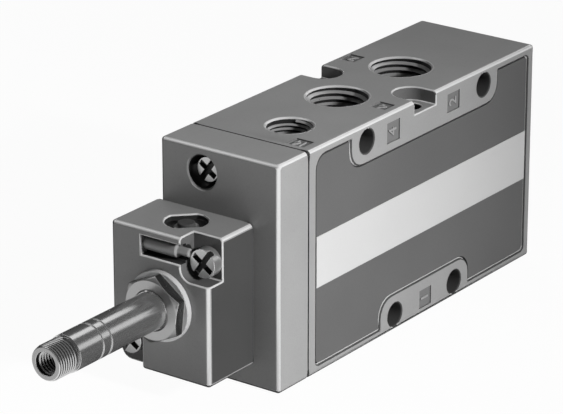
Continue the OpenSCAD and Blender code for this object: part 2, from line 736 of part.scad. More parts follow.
module stepped_pin() from_joint() color("silver") {
    y_cyl(pin_r, pin_tip_y + pin_tip_l, pin_tip_y + pin_tip_l + pin_l, pin_x, window_z);
    y_cyl(pin_tip_r, pin_tip_y, pin_tip_y + pin_tip_l + 1, pin_x, window_z);
}

module override_button() from_joint() color("dimgray") difference() {
    union() {
        z_cyl(button_r, collar_z1, block_z2 - button_drop, override_x, tube_y);
        z_cyl(collar_r, collar_z1, collar_z2, override_x, tube_y);
        z_cyl(button_stem_r, button_tip_z, collar_z1 + eps, override_x, tube_y);
    }
    // groove for the seal
    translate([override_x, tube_y, button_seal_z - button_seal_r - 0.05]) rotate_extrude()
        translate([button_r - 2 * button_seal_r - 0.05, 0]) square([2, 2 * button_seal_r + 0.1]);
}

module override_seal() from_joint() color("black")
    translate([override_x, tube_y, button_seal_z]) rotate_extrude()
        translate([button_r - button_seal_r, 0]) circle(button_seal_r);

module override_bush() from_joint() color("goldenrod") difference() {
    z_cyl(bush_r, bush_z, bayonet_z, override_x, tube_y);
    z_cyl(button_r + run_gap, bush_z - eps, bayonet_z + eps, override_x, tube_y);
}

module override_spring() from_joint() color("silver")
    translate([override_x, tube_y, button_pocket_z + press_gap])
        coil_spring(button_spring_h - 2 * press_gap, 4, button_spring_r, button_wire);

module tube_washer() from_joint() color("silver") difference() {
    x_cyl(washer_r, block_x1 - washer_t, block_x1, tube_y, tube_z);
    x_cyl(nut_thread_r + seat_gap, block_x1 - washer_t - eps, block_x1 + eps, tube_y, tube_z);
}

module tube_nut() from_joint() color("silver") difference() {
    union() {
        intersection() {
            translate([nut_x1, tube_y, tube_z]) rotate([nut_turn, 0, 0]) rotate([0, 90, 0])
                cylinder(r = nut_af / 2 / cos(30), h = nut_h, $fn = 6);
            x_cone(nut_af / 2 - 0.1, nut_af / 2 + 2 * nut_h, nut_x1, nut_x1 + 1.2 * nut_h, tube_y, tube_z);
        }
        x_cyl(nut_thread_r, nut_x1 + nut_h - eps, nut_thread_x2, tube_y, tube_z);
    }
    x_cyl(nut_hole_r, nut_x1 - eps, nut_thread_x2 + eps, tube_y, tube_z);
}

module armature_tube() from_joint() color("lightgray") difference() {
    union() {
        x_cyl(tube_r, tube_thread_x, flange_x2, tube_y, tube_z);
        x_cyl(tube_neck_r, nut_x1 - 0.05, flange_x2, tube_y, tube_z);
        x_cyl(flange_r, flange_x1, flange_x2, tube_y, tube_z);
    }
    x_cyl(tube_bore_r, tube_thread_x - eps, flange_x2 + eps, tube_y, tube_z);
    for (x = [groove_x, groove_x + groove_gap]) difference() {
        x_cyl(tube_r + 1, nut_x1 - x - groove_w / 2, nut_x1 - x + groove_w / 2, tube_y, tube_z);
        x_cyl(tube_r - groove_depth, nut_x1 - x - groove_w, nut_x1 - x + groove_w, tube_y, tube_z);
    }
}

module tube_seal() from_joint() color("black")
    x_turned(flange_x2 + tube_seal_r + 0.05, tube_y, tube_z)
        translate([tube_cavity_r - tube_seal_r - 0.1, 0]) circle(tube_seal_r);

module fixed_core() from_joint() color("silver") difference() {
    union() {
        x_cyl(tube_bore_r - press_gap, tube_thread_x - eps, core_x2, tube_y, tube_z);
        x_cyl(coil_thread_r - 0.35, tube_thread_x - 2 * thread_neck_l, tube_thread_x, tube_y, tube_z);
        x_cyl(coil_thread_r, core_end_x + coil_thread_bevel, tube_thread_x - thread_neck_l, tube_y, tube_z);
        x_cone(coil_thread_r - coil_thread_bevel, coil_thread_r,
            core_end_x, core_end_x + coil_thread_bevel, tube_y, tube_z);
    }
    x_cyl(end_hole_r, core_end_x - eps, core_end_x + end_hole_depth, tube_y, tube_z);
    x_cyl(vent_r, core_end_x, core_x2 + eps, tube_y, tube_z);
    x_cyl(armature_bore_r, core_x2 - spring_in_core, core_x2 + eps, tube_y, tube_z);
}

module armature() from_joint() color("silver") difference() {
    union() {
        x_cyl(armature_r, armature_x1, armature_x2, tube_y, tube_z);
        x_cyl(neck_r, armature_x2 - eps, armature_x3, tube_y, tube_z);
    }
    x_cyl(armature_bore_r, armature_x1 - eps, armature_x1 + spring_in_armature, tube_y, tube_z);
    x_cyl(armature_seal_r + press_gap, armature_seal_x1 - press_gap, armature_x3 + eps, tube_y, tube_z);
}

module armature_seal() from_joint() color("black")
    x_cyl(armature_seal_r, armature_seal_x1, armature_x3 + armature_seal_out, tube_y, tube_z);

module armature_spring() from_joint() color("silver") {
    x1 = core_x2 - spring_in_core + press_gap;
    x2 = armature_x1 + spring_in_armature - press_gap;
    translate([x1, tube_y, tube_z]) rotate([0, 90, 0])
        coil_spring(x2 - x1, 10, armature_spring_r, armature_wire);
}

module pilot_nozzle() from_joint() color("goldenrod") difference() {
    union() {
        x_cyl(nozzle_r, pilot_floor_x, nozzle_x2 - press_gap, tube_y, tube_z);
        x_cone(nozzle_rim_r, nozzle_r, nozzle_tip_x, pilot_floor_x, tube_y, tube_z);
    }
    x_cyl(nozzle_bore_r, nozzle_tip_x - eps, nozzle_x2 + eps, tube_y, tube_z);
}

module spool() from_joint() color("silver") difference() {
    union() {
        x_cyl(stem_r, spool_x1 + 1, spool_x2 - 1);
        x_cyl(land_r, spool_x1, land_1_end);
        x_cyl(land_r, land_2_start, land_2_end);
        x_cyl(land_r, land_3_start, spool_x2);
    }
    x_cyl(spring_hole_r, spool_x2 - spring_hole, spool_x2 + eps);
}

module pilot_piston() from_joint() color("white") difference() {
    union() {
        x_cyl(chamber_r - run_gap, piston_x1, piston_x2);
        x_cyl(land_r - hub_gap, piston_x2 - eps, spool_x1);
    }
    // groove for the seal
    x_turned((piston_x1 + piston_x2) / 2)
        translate([chamber_r - 2 * piston_seal_r - 0.1, -piston_groove_w / 2])
            square([2 * piston_seal_r + 2, piston_groove_w]);
}

module piston_seal() from_joint() color("black")
    x_turned((piston_x1 + piston_x2) / 2)
        translate([chamber_r - piston_seal_r - run_gap, 0]) circle(piston_seal_r);

// Six seals with two lips each, which stand still in the bore while the lands slide through them
module spool_seals() from_joint() color("black") {
    r1 = land_r + run_gap;
    r2 = bore_r - seat_gap;
    half = seal_w / 2 - stack_play;
    dip = 0.5;
    for (i = [0:5]) x_turned(seal_x(i)) polygon([
        [r1, -half], [(r1 + r2) / 2, dip - half], [r2, -half],
        [r2, half], [(r1 + r2) / 2, half - dip], [r1, half]
    ]);
}

// Five spacer rings, each with cross holes opposite its port
module seal_spacers() from_joint() color("goldenrod") {
    r = bore_r - seat_gap;
    half = (port_pitch - seal_w) / 2;
    for (i = [-2:2]) translate([port_mid + i * port_pitch, 0, 0]) difference() {
        x_cyl(r, -half, half);
        x_cyl(r - spacer_wall, -half - eps, half + eps);
        z_cyl(spacer_hole_r, bore_z - body_h / 2, bore_z + body_h / 2, 0, 0);
        y_cyl(spacer_hole_r, -body_w / 2, body_w / 2, 0, bore_z);
    }
}

module return_spring() from_joint() color("silver") {
    x1 = spool_x2 - spring_hole + press_gap;
    translate([x1, 0, bore_z]) rotate([0, 90, 0])
        coil_spring(plug_floor_x - press_gap - x1, 9, return_r, return_wire);
}

module end_plug() from_joint() color("darkgray") difference() {
    x_cyl(bore_r - seat_gap, plug_x1, plug_x2);
    x_cyl(plug_hollow_r, plug_x1 - eps, plug_floor_x);
    x_turned(plug_seal_x) translate([bore_r - 2 * plug_seal_r - 0.1, -plug_seal_r - 0.05])
        square([2 * plug_seal_r + 1, 2 * plug_seal_r + 0.1]);
}

module plug_seal() from_joint() color("black")
    x_turned(plug_seal_x) translate([bore_r - plug_seal_r - 0.05, 0]) circle(plug_seal_r);

// Spring ring with a gap at the bottom and an ear with a hole on each side of it
module retaining_ring() from_joint() color("silver") {
    r2 = bore_r + ring_groove - 0.1;
    r1 = bore_r - 1.4;
    ear_y = 2.2;
    ear_z = bore_z - bore_r + 2.4;
    difference() {
        union() {
            difference() {
                x_cyl(r2, ring_x1 + stack_play, ring_x2 - stack_play);
                x_cyl(r1, ring_x1 - eps, ring_x2 + eps);
            }
            for (s = [-1, 1]) x_cyl(1.5, ring_x1 + stack_play, ring_x2 - stack_play, s * ear_y, ear_z);
        }
        translate([ring_x1 - eps, -0.7, bore_z - 2 * bore_r]) cube([ring_w + 2 * eps, 1.4, 2 * bore_r - 2]);
        for (s = [-1, 1]) x_cyl(0.7, ring_x1 - eps, ring_x2 + eps, s * ear_y, ear_z);
    }
}

valve_body();
side_panels();
band_strips();
cap_gasket();
pilot_cap();
cap_screws();
pilot_block();
block_seals();
block_screws();
stepped_pin();
override_button();
override_seal();
override_bush();
override_spring();
tube_washer();
tube_nut();
armature_tube();
tube_seal();
fixed_core();
armature();
armature_seal();
armature_spring();
pilot_nozzle();
spool();
pilot_piston();
piston_seal();
spool_seals();
seal_spacers();
return_spring();
end_plug();
plug_seal();
retaining_ring();
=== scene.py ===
import json
import math
import bmesh
import bpy
from mathutils import Matrix, Vector
from mathutils.bvhtree import BVHTree

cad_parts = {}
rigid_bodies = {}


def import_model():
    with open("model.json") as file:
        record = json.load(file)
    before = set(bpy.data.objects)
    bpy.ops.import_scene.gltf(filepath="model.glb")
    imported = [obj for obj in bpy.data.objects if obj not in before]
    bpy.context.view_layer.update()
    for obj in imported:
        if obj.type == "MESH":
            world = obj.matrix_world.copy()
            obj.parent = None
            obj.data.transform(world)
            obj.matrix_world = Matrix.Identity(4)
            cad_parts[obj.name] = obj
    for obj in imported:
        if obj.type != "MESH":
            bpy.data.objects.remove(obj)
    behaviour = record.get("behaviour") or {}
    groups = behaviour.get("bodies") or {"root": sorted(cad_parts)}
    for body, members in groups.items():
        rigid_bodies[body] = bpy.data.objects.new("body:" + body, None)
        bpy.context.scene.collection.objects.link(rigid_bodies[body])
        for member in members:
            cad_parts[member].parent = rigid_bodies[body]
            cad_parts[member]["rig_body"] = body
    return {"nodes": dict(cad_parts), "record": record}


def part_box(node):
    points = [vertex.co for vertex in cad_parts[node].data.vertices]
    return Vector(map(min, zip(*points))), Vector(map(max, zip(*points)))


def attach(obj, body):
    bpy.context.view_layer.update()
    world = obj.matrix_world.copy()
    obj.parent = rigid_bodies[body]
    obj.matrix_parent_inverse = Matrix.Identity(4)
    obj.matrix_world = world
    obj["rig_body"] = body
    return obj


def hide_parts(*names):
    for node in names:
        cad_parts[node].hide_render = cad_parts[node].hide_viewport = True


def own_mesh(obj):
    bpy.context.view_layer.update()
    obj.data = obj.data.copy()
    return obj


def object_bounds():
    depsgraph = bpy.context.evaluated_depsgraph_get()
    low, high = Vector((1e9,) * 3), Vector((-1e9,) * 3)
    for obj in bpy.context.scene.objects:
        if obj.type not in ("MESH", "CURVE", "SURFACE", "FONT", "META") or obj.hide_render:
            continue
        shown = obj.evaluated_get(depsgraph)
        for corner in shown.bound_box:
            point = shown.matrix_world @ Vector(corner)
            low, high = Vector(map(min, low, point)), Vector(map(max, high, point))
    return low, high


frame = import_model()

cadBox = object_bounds()
nodes = frame["nodes"]
mm = 0.001
bodyFront = -0.0425  # the body's end at the pilot cap, along X; places below are counted from it


def at(x, y, z):
    return Vector((bodyFront + x * mm, y * mm, z * mm))


# Camera at the photograph's place; metres, degrees, and millimetres for lens and sensor
view = {"place": (-0.55755, -0.38431, 0.28348), "azimuth": -53.85, "elevation": 21.17, "lens": 214.4,
        "sensor": 36, "near": 0.01, "far": 50}


def addCamera():
    a, e = math.radians(view["azimuth"]), math.radians(view["elevation"])
    back = Vector((math.sin(a) * math.cos(e), -math.cos(a) * math.cos(e), math.sin(e)))
    right = Vector((math.cos(a), math.sin(a), 0))
    turn = Matrix((right, back.cross(right), back)).transposed().to_4x4()
    camera = bpy.data.objects.new("camera", bpy.data.cameras.new("camera"))
    camera.data.lens = view["lens"]
    camera.data.sensor_width = view["sensor"]
    camera.data.clip_start, camera.data.clip_end = view["near"], view["far"]
    camera.matrix_world = Matrix.Translation(view["place"]) @ turn
    bpy.context.scene.collection.objects.link(camera)
    bpy.context.scene.camera = camera


addCamera()
bpy.context.scene.view_settings.view_transform = "Standard"
print("camera set")


# Wire wraps a socket, so that shader and geometry maths are plain expressions
class Wire:
    def __init__(self, graph, socket):
        self.graph, self.socket = graph, socket

    def calc(self, operation, a, b=0.0):
        return self.graph.node("ShaderNodeMath", {"operation": operation}, {0: a, 1: b})

    def __add__(self, other):
        return self.calc("ADD", self, other)

    def __radd__(self, other):
        return self.calc("ADD", other, self)

    def __sub__(self, other):
        return self.calc("SUBTRACT", self, other)

    def __rsub__(self, other):
        return self.calc("SUBTRACT", other, self)

    def __mul__(self, other):
        return self.calc("MULTIPLY", self, other)

    def __truediv__(self, other):
        return self.calc("DIVIDE", self, other)

    def __neg__(self):
        return self.calc("MULTIPLY", self, -1.0)


class Graph:
    def __init__(self, tree):
        self.tree = tree
        tree.nodes.clear()

    def socket(self, name, kind, way="INPUT"):
        self.tree.interface.new_socket(name, in_out=way, socket_type="NodeSocket" + kind)

    def node(self, kind, settings={}, inputs={}, out=0):
        made = self.tree.nodes.new(kind)
        for key, value in settings.items():
            if key == "stops":
                ramp = made.color_ramp.elements
                while len(ramp) < len(value):
                    ramp.new(1.0)
                for stop, (place, shade) in zip(ramp, value):
                    stop.position, stop.color = place, (shade, shade, shade, 1)
            else:
                setattr(made, key, value)
        for key, value in inputs.items():
            if isinstance(value, Wire):
                self.tree.links.new(value.socket, made.inputs[key])
            else:
                made.inputs[key].default_value = value
        return Wire(self, made.outputs[out]) if len(made.outputs) else None

    # Sockets 6 and 7 and output 2 are those for colours
    def mix(self, factor, a, b):
        return self.node("ShaderNodeMix", {"data_type": "RGBA"}, {0: factor, 6: a, 7: b}, 2)

    def ramp(self, factor, stops):
        return self.node("ShaderNodeValToRGB", {"stops": stops}, {0: factor})


def grey(level):
    return (level, level, level, 1)


def noise(graph, place, size, detail=2.0, roughness=0.5):
    return graph.node("ShaderNodeTexNoise", {}, {"Vector": place, "Scale": 1 / (size * mm),
                                                "Detail": detail, "Roughness": roughness})


def stretched(graph, place, x, y, z):
    return graph.node("ShaderNodeMapping", {"vector_type": "POINT"}, {"Vector": place, "Scale": (x, y, z)})


def newFinish(name):
    material = bpy.data.materials.new(name)
    material.use_nodes = True
    graph = Graph(material.node_tree)
    return material, graph, graph.node("ShaderNodeTexCoord", out="Object")


def surface(graph, color, roughness, metallic, normal, coat=0.0):
    shader = graph.node("ShaderNodeBsdfPrincipled", {}, {
        "Base Color": color, "Roughness": roughness, "Metallic": metallic, "Coat Weight": coat,
        "Normal": normal})
    graph.node("ShaderNodeOutputMaterial", {}, {"Surface": shader})


def bump(graph, height, depth):
    return graph.node("ShaderNodeBump", {}, {"Height": height, "Distance": depth * mm, "Strength": 1.0})


# Pits of cast metal: their size in grains, how deep they are in grains, and the noise levels of their edges
pitForm = {"size": 2.6, "depth": 0.4, "stops": [(0.0, 0.0), (0.3, 0.0), (0.36, 1.0)]}

# How far the roughness of each kind of finish wanders
wander = {"cast": 0.12, "drawn": 0.08, "matte": 0.15}


# Tumbled cast metal: cloudy tone, fine grain, a few darker pits
def castFinish(name, look):
    material, graph, place = newFinish(name)
    cloud = noise(graph, place, look["cloudSize"], 3.0)
    grain = noise(graph, place, look["grainSize"], 3.0, 0.65)
    pits = graph.ramp(noise(graph, place, look["grainSize"] * pitForm["size"], 1.0), pitForm["stops"])
    tone = 0.5 + (cloud - 0.5) * look["cloud"] + (grain - 0.5) * look["grain"]
    tone = tone - (1 - pits) * look["pits"]
    color = graph.mix(tone, look["dark"], look["light"])
    rough = look["roughness"] + (grain - 0.5) * wander["cast"]
    relief = bump(graph, grain + pits * pitForm["depth"], look["depth"])
    surface(graph, color, rough, look["metallic"], relief)
    return material


# Turned, drawn or plated metal: streaks across one direction and a faint cloud
def drawnFinish(name, look):
    material, graph, place = newFinish(name)
    streaks = noise(graph, stretched(graph, place, *look["across"]), look["lineSize"], 2.0, 0.6)
    cloud = noise(graph, place, look["cloudSize"], 2.0)
    tone = 0.5 + (streaks - 0.5) * look["lines"] + (cloud - 0.5) * look["cloud"]
    color = graph.mix(tone, look["dark"], look["light"])
    rough = look["roughness"] + (streaks - 0.5) * wander["drawn"] + (cloud - 0.5) * wander["drawn"]
    surface(graph, color, rough, look["metallic"], bump(graph, streaks, look["depth"]))
    return material


# Foil, moulded plastic and rubber: matte, with fine texture
def matteFinish(name, look):
    material, graph, place = newFinish(name)
    cloud = noise(graph, place, look["cloudSize"], 3.0)
    grain = noise(graph, place, look["grainSize"], 2.0, 0.6)
    tone = 0.5 + (cloud - 0.5) * look["cloud"] + (grain - 0.5) * look["grain"]
    color = graph.mix(tone, look["dark"], look["light"])
    rough = look["roughness"] + (cloud - 0.5) * wander["matte"]
    surface(graph, color, rough, 0.0, bump(graph, grain, look["depth"]), look.get("coat", 0.0))
    return material


# Cast looks; sizes and depths are in millimetres, and so they are below
bodyLook = {"dark": grey(0.26), "light": grey(0.42), "cloudSize": 16, "grainSize": 0.32, "cloud": 0.5,
            "grain": 0.5, "pits": 0.08, "roughness": 0.5, "metallic": 0.25, "depth": 0.006}
blockLook = dict(bodyLook, dark=grey(0.22), light=grey(0.35), grainSize=0.26)
# Painted highlight: lighter copies of the cast looks, for the roundings of body, cap, block and rear plug
# and for the port rims
edgeHighlightLook = dict(bodyLook, dark=grey(0.62), light=grey(0.84), roughness=0.3, metallic=0.4, depth=0.004,
                pits=0.02)
blockEdgeHighlightLook = dict(edgeHighlightLook, dark=grey(0.56), light=grey(0.78))
tileLook = dict(bodyLook, dark=grey(0.14), light=grey(0.22), roughness=0.6, metallic=0.2)
# Painted shade: darker copies of the cast looks, for the block's near side, notch walls, far roundings and
# joint, holes and recesses, and the notch corners
blockSideShadeLook = dict(blockLook, dark=grey(0.038), light=grey(0.068), metallic=0.1)
notchShadeLook = dict(blockLook, dark=grey(0.07), light=grey(0.12), metallic=0.1)
edgeShadeLook = dict(bodyLook, dark=grey(0.05), light=grey(0.09), roughness=0.6, metallic=0.1)
holeShadeLook = dict(bodyLook, dark=grey(0.012), light=grey(0.035), roughness=0.4, metallic=0.3)
cornerShadeLook = dict(bodyLook, dark=grey(0.11), light=grey(0.2))

# Looks of cut, turned, drawn and plated metal
threadLook = {"dark": grey(0.45), "light": grey(0.60), "across": (1, 1, 1), "lineSize": 1.5, "cloudSize": 6,
              "lines": 0.3, "cloud": 0.3, "roughness": 0.3, "metallic": 0.6, "depth": 0.0005}
plateLook = {"dark": grey(0.52), "light": grey(0.70), "across": (1, 1, 1), "lineSize": 0.35, "cloudSize": 3,
             "lines": 0.25, "cloud": 0.4, "roughness": 0.3, "metallic": 0.85, "depth": 0.0008}
# Painted shade for front faces, the nut's flats and the washer's sides, and painted highlight for the
# washer's face and for rims: darker and lighter copies of the plated look
frontShadeLook = dict(plateLook, dark=grey(0.36), light=grey(0.50))
washerHighlightLook = dict(plateLook, dark=grey(0.86), light=grey(0.95), roughness=0.42, metallic=0.12)
washerSideShadeLook = dict(washerHighlightLook, dark=grey(0.38), light=grey(0.46))
flatShadeLook = dict(plateLook, dark=grey(0.05), light=grey(0.11), roughness=0.25)
rimHighlightLook = dict(plateLook, dark=grey(0.80), light=grey(0.92), roughness=0.22)
ridgeLook = dict(plateLook, dark=grey(0.54), light=grey(0.68), roughness=0.26)
tubeLook = {"dark": grey(0.60), "light": grey(0.76), "across": (14, 1, 1), "lineSize": 0.6, "cloudSize": 8,
            "lines": 0.35, "cloud": 0.2, "roughness": 0.21, "metallic": 0.93, "depth": 0.0006}
wireLook = dict(tubeLook, dark=grey(0.34), light=grey(0.5), across=(1, 1, 1))
darkLook = dict(plateLook, dark=grey(0.26), light=grey(0.38), roughness=0.5, metallic=0.4)
brassLook = dict(tubeLook, dark=(0.44, 0.30, 0.12, 1), light=(0.72, 0.52, 0.24, 1), across=(7, 1, 1),
                 roughness=0.33)

# Looks of foil, plastic and rubber
panelLook = {"dark": grey(0.085), "light": grey(0.125), "cloudSize": 30, "grainSize": 0.22, "cloud": 0.7,
             "grain": 0.6, "roughness": 0.62, "depth": 0.004}
bandLook = {"dark": grey(0.43), "light": grey(0.51), "cloudSize": 24, "grainSize": 0.3, "cloud": 0.5,
            "grain": 0.4, "roughness": 0.5, "depth": 0.002}
buttonLook = dict(panelLook, dark=grey(0.03), light=grey(0.07), cloudSize=3, roughness=0.4, coat=0.2)
pistonLook = dict(panelLook, dark=(0.62, 0.60, 0.54, 1), light=(0.78, 0.77, 0.72, 1), cloudSize=8,
                  roughness=0.4)
rubberLook = dict(panelLook, dark=grey(0.012), light=grey(0.03), cloudSize=5, roughness=0.55, depth=0.006)

# A finish for every material slot of the solids
finishes = {
    "cast_aluminium": castFinish("castAluminium", bodyLook),
    "block_aluminium": castFinish("blockAluminium", blockLook),
    "dark_panel": matteFinish("darkPanel", panelLook),
    "light_band": matteFinish("lightBand", bandLook),
    "plated_steel": drawnFinish("platedSteel", plateLook),
    "turned_steel": drawnFinish("turnedSteel", tubeLook),
    "spring_steel": drawnFinish("springWire", wireLook),
    "dark_steel": drawnFinish("oiledSteel", darkLook),
    "button_plastic": matteFinish("buttonPlastic", buttonLook),
    "piston_plastic": matteFinish("pistonPlastic", pistonLook),
    "seal_rubber": matteFinish("sealRubber", rubberLook),
    "brass": drawnFinish("brassTurned", brassLook),
}

# Finishes for some faces of a piece: all but the tile floor, the cut threads and the ridges are painted
# highlight or painted shade
castEdgeHighlight = castFinish("castEdgeHighlight", edgeHighlightLook)
blockEdgeHighlight = castFinish("blockEdgeHighlight", blockEdgeHighlightLook)
tileFloor = castFinish("tileFloor", tileLook)
holeShade = castFinish("holeShade", holeShadeLook)
blockSideShade = castFinish("blockSideShade", blockSideShadeLook)
notchWallShade = castFinish("notchWallShade", notchShadeLook)
edgeShade = castFinish("edgeShade", edgeShadeLook)
cutThread = drawnFinish("cutThread", threadLook)
rimHighlight = drawnFinish("rimHighlight", rimHighlightLook)
brightRidge = drawnFinish("brightRidge", ridgeLook)
notchCornerShade = castFinish("notchCornerShade", cornerShadeLook)
nutFlatShade = drawnFinish("nutFlatShade", flatShadeLook)
frontFaceShade = drawnFinish("frontFaceShade", frontShadeLook)
washerFaceHighlight = drawnFinish("washerFaceHighlight", washerHighlightLook)
washerSideShade = drawnFinish("washerSideShade", washerSideShadeLook)
slots = {part["node"]: part["material_slot"] for part in frame["record"]["subparts"]}
print("finishes made:", len(bpy.data.materials))


def link(name, mesh):
    piece = bpy.data.objects.new(name, mesh)
    bpy.context.scene.collection.objects.link(piece)
    return piece


# Turns an object with live modifiers into a plain mesh
def settle(piece):
    graph = bpy.context.evaluated_depsgraph_get()
    shown = piece.evaluated_get(graph)
    mesh = bpy.data.meshes.new_from_object(shown, preserve_all_data_layers=True, depsgraph=graph)
    piece.modifiers.clear()
    piece.data = mesh
    mesh.name = piece.name
    return piece


def shadeByAngle(mesh, degrees):
    mesh.polygons.foreach_set("use_smooth", [True] * len(mesh.polygons))
    mesh.set_sharp_from_angle(angle=math.radians(degrees))


# Gives one of a piece's finishes to the faces whose middle and direction pass a test
def paint(piece, finish, test):
    mesh = piece.data
    names = [material.name for material in mesh.materials]
    if finish.name not in names:
        mesh.materials.append(finish)
        names.append(finish.name)
    for poly in mesh.polygons:
        if test(poly.center, poly.normal):
            poly.material_index = names.index(finish.name)
    return piece


# Faces that look across a hole or slot at their own piece; they get painted shade
def acrossHole(piece, reach, lift=0.02):
    mesh = piece.data
    tree = BVHTree.FromPolygons([vert.co for vert in mesh.vertices],
                                [poly.vertices for poly in mesh.polygons])

    def test(middle, normal):
        return tree.ray_cast(middle + normal * lift * mm, normal, reach * mm)[0] is not None

    return test


# How deep a point lies in a box, along the nearest of some directions
def depthIn(box, point, ways=(0, 1, 2)):
    return min(min(point[i] - box[0][i], box[1][i] - point[i]) for i in ways)


# Widths in millimetres: new roundings of body, cap and block, the reach of the roundings that the solids
# have, the band of painted shade at the rear, the depth from which the edges of a hidden end face stay
# sharp, and the distance below which points are merged.
# Parts of a normal: below flat a face is rounded, and above turned it looks that way.
# Angles in degrees: faces that differ by less than flatten become one, edges from sharpFrom on are rounded.
edges = {"body": 0.3, "block": 0.3, "rounding": 1.0, "rear": 0.4, "seam": 0.6, "merge": 0.002,
         "flat": 0.985, "turned": 0.12, "flatten": 0.6, "sharpFrom": 28}

# Angles in degrees below which neighbouring faces are shaded as one
smoothAngles = {"solid": 36, "numbers": 30, "coils": 50}


# Faces of the roundings along the outer edges of a node, which get painted highlight
def outerEdge(node):
    low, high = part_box(node)

    def test(middle, normal):
        near = sum(min(middle[i] - low[i], high[i] - middle[i]) < edges["rounding"] * mm for i in range(3))
        return near > 1 and max(abs(part) for part in normal) < edges["flat"]

    return test


# Outer roundings that turn to the far side, the rear or the underside, which get painted shade instead
def farEdge(node):
    outer = outerEdge(node)
    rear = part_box(node)[1][0] - edges["rear"] * mm

    def test(middle, normal):
        turned = max(normal.x, normal.y, -normal.z) > edges["turned"]
        return outer(middle, normal) and (turned or middle.x > rear)

    return test


# Edges deep inside a node, or on the face that its neighbour at +X hides
def buried(node, deep):
    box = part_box(node)

    def test(middle):
        seam = box[1][0] - middle[0] < 0.1 * mm and depthIn(box, middle, (1, 2)) > edges["seam"] * mm
        return depthIn(box, middle) > deep * mm or seam

    return test


# A merged copy of a CAD node with its sharp edges rounded; edges in keep stay sharp. The new roundings take
# edgeFinish, a painted highlight, or painted shade for the washer
def softened(node, width, edgeFinish=None, segments=3, pockets=(), keep=None):
    mesh = nodes[node].data.copy()
    mesh.materials.clear()
    mesh.materials.append(finishes[slots[node]])
    if edgeFinish:
        mesh.materials.append(edgeFinish)
    for poly in mesh.polygons:
        poly.material_index = 0
    piece = link(node + ".dressed", mesh)
    shape = bmesh.new()
    shape.from_mesh(mesh)
    bmesh.ops.remove_doubles(shape, verts=shape.verts, dist=edges["merge"] * mm)
    bmesh.ops.dissolve_limit(shape, angle_limit=math.radians(edges["flatten"]), verts=shape.verts,
                             edges=shape.edges, delimit={"NORMAL"})
    shape.to_mesh(mesh)
    shape.free()
    if pockets:
        cutter = pocketCutter(pockets)
        cut = piece.modifiers.new("pockets", "BOOLEAN")
        cut.object, cut.operation, cut.solver = cutter, "DIFFERENCE", "EXACT"
        settle(piece)
        mesh = piece.data
        bpy.data.objects.remove(cutter)
    shape = bmesh.new()
    shape.from_mesh(mesh)
    layers = shape.edges.layers.float
    weights = layers.get("bevel_weight_edge") or layers.new("bevel_weight_edge")
    for edge in shape.edges:
        angle = edge.calc_face_angle(0)
        middle = (edge.verts[0].co + edge.verts[1].co) / 2
        soft = angle > math.radians(edges["sharpFrom"]) and not (keep and keep(middle))
        edge[weights] = 1.0 if soft else 0.0
    shape.to_mesh(mesh)
    shape.free()
    bevel = piece.modifiers.new("rounding", "BEVEL")
    bevel.limit_method, bevel.width, bevel.segments = "WEIGHT", width * mm, segments
    bevel.use_clamp_overlap, bevel.material = False, 1 if edgeFinish else -1
    settle(piece)
    shadeByAngle(piece.data, smoothAngles["solid"])
    weighted = piece.modifiers.new("normals", "WEIGHTED_NORMAL")
    weighted.keep_sharp = True
    settle(piece)
    return piece


# Puts a dressed piece in the place of its node
def stand(piece, node):
    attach(piece, nodes[node]["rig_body"])
    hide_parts(node)
    return piece


# Sunk number tiles: each number, its middle, outward direction and size, in millimetres.
# The numbers are raised by relief, and those of two figures are made narrower.
tiles = {
    "depth": 0.3, "relief": 0.2, "height": 3.77, "narrow": 0.72, "rounding": 0.03, "swell": 0.02,
    "margin": 0.15, "merge": 0.001,
    "places": [
        ("4", (30.1, -15, 45.6), (0, -1, 0), (4.7, 4.6)), ("2", (52.8, -15, 45.8), (0, -1, 0), (4.7, 4.2)),
        ("1", (43.1, -15, 3.7), (0, -1, 0), (4.5, 4.2)), ("14", (3.2, -10.4, 50), (0, 0, 1), (3.8, 4.3)),
        ("4", (31.6, -11.1, 50), (0, 0, 1), (3.9, 3.8)), ("2", (53.4, 11.9, 50), (0, 0, 1), (4.3, 3.8)),
        ("4", (30.1, 15, 45.6), (0, 1, 0), (4.7, 4.6)), ("2", (52.8, 15, 45.8), (0, 1, 0), (4.7, 4.2)),
        ("1", (43.1, 15, 3.7), (0, 1, 0), (4.5, 4.2)), ("5", (19.1, -10.9, 0), (0, 0, -1), (3.8, 3.8)),
        ("1", (42.9, -10.9, 0), (0, 0, -1), (3.8, 3.8)), ("3", (66.7, -10.9, 0), (0, 0, -1), (3.8, 3.8)),
    ],
}


# Numbers read with their tops towards the armature tube
def tileFrame(place, outward):
    up, out = Vector((-1, 0, 0)), Vector(outward)
    turn = Matrix((up.cross(out), up, out)).transposed().to_4x4()
    return Matrix.Translation(at(*place)) @ turn


def pocketCutter(pockets):
    shape = bmesh.new()
    for number, place, outward, (along, across) in pockets:
        size = Matrix.Diagonal((across * mm, along * mm, 2 * tiles["depth"] * mm, 1))
        bmesh.ops.create_cube(shape, size=1.0, matrix=tileFrame(place, outward) @ size)
    mesh = bpy.data.meshes.new("cutter")
    shape.to_mesh(mesh)
    shape.free()
    mesh.materials.append(tileFloor)
    return link("cutter", mesh)


# Whether a point lies in a tile, between two heights over the tile's surface
def inTile(point, low=-0.6, high=0.6):
    for number, place, outward, (along, across) in tiles["places"]:
        local = tileFrame(place, outward).inverted() @ point
        wide, tall = (across / 2 + tiles["margin"]) * mm, (along / 2 + tiles["margin"]) * mm
        if abs(local.x) < wide and abs(local.y) < tall and low * mm < local.z < high * mm:
            return True
    return False


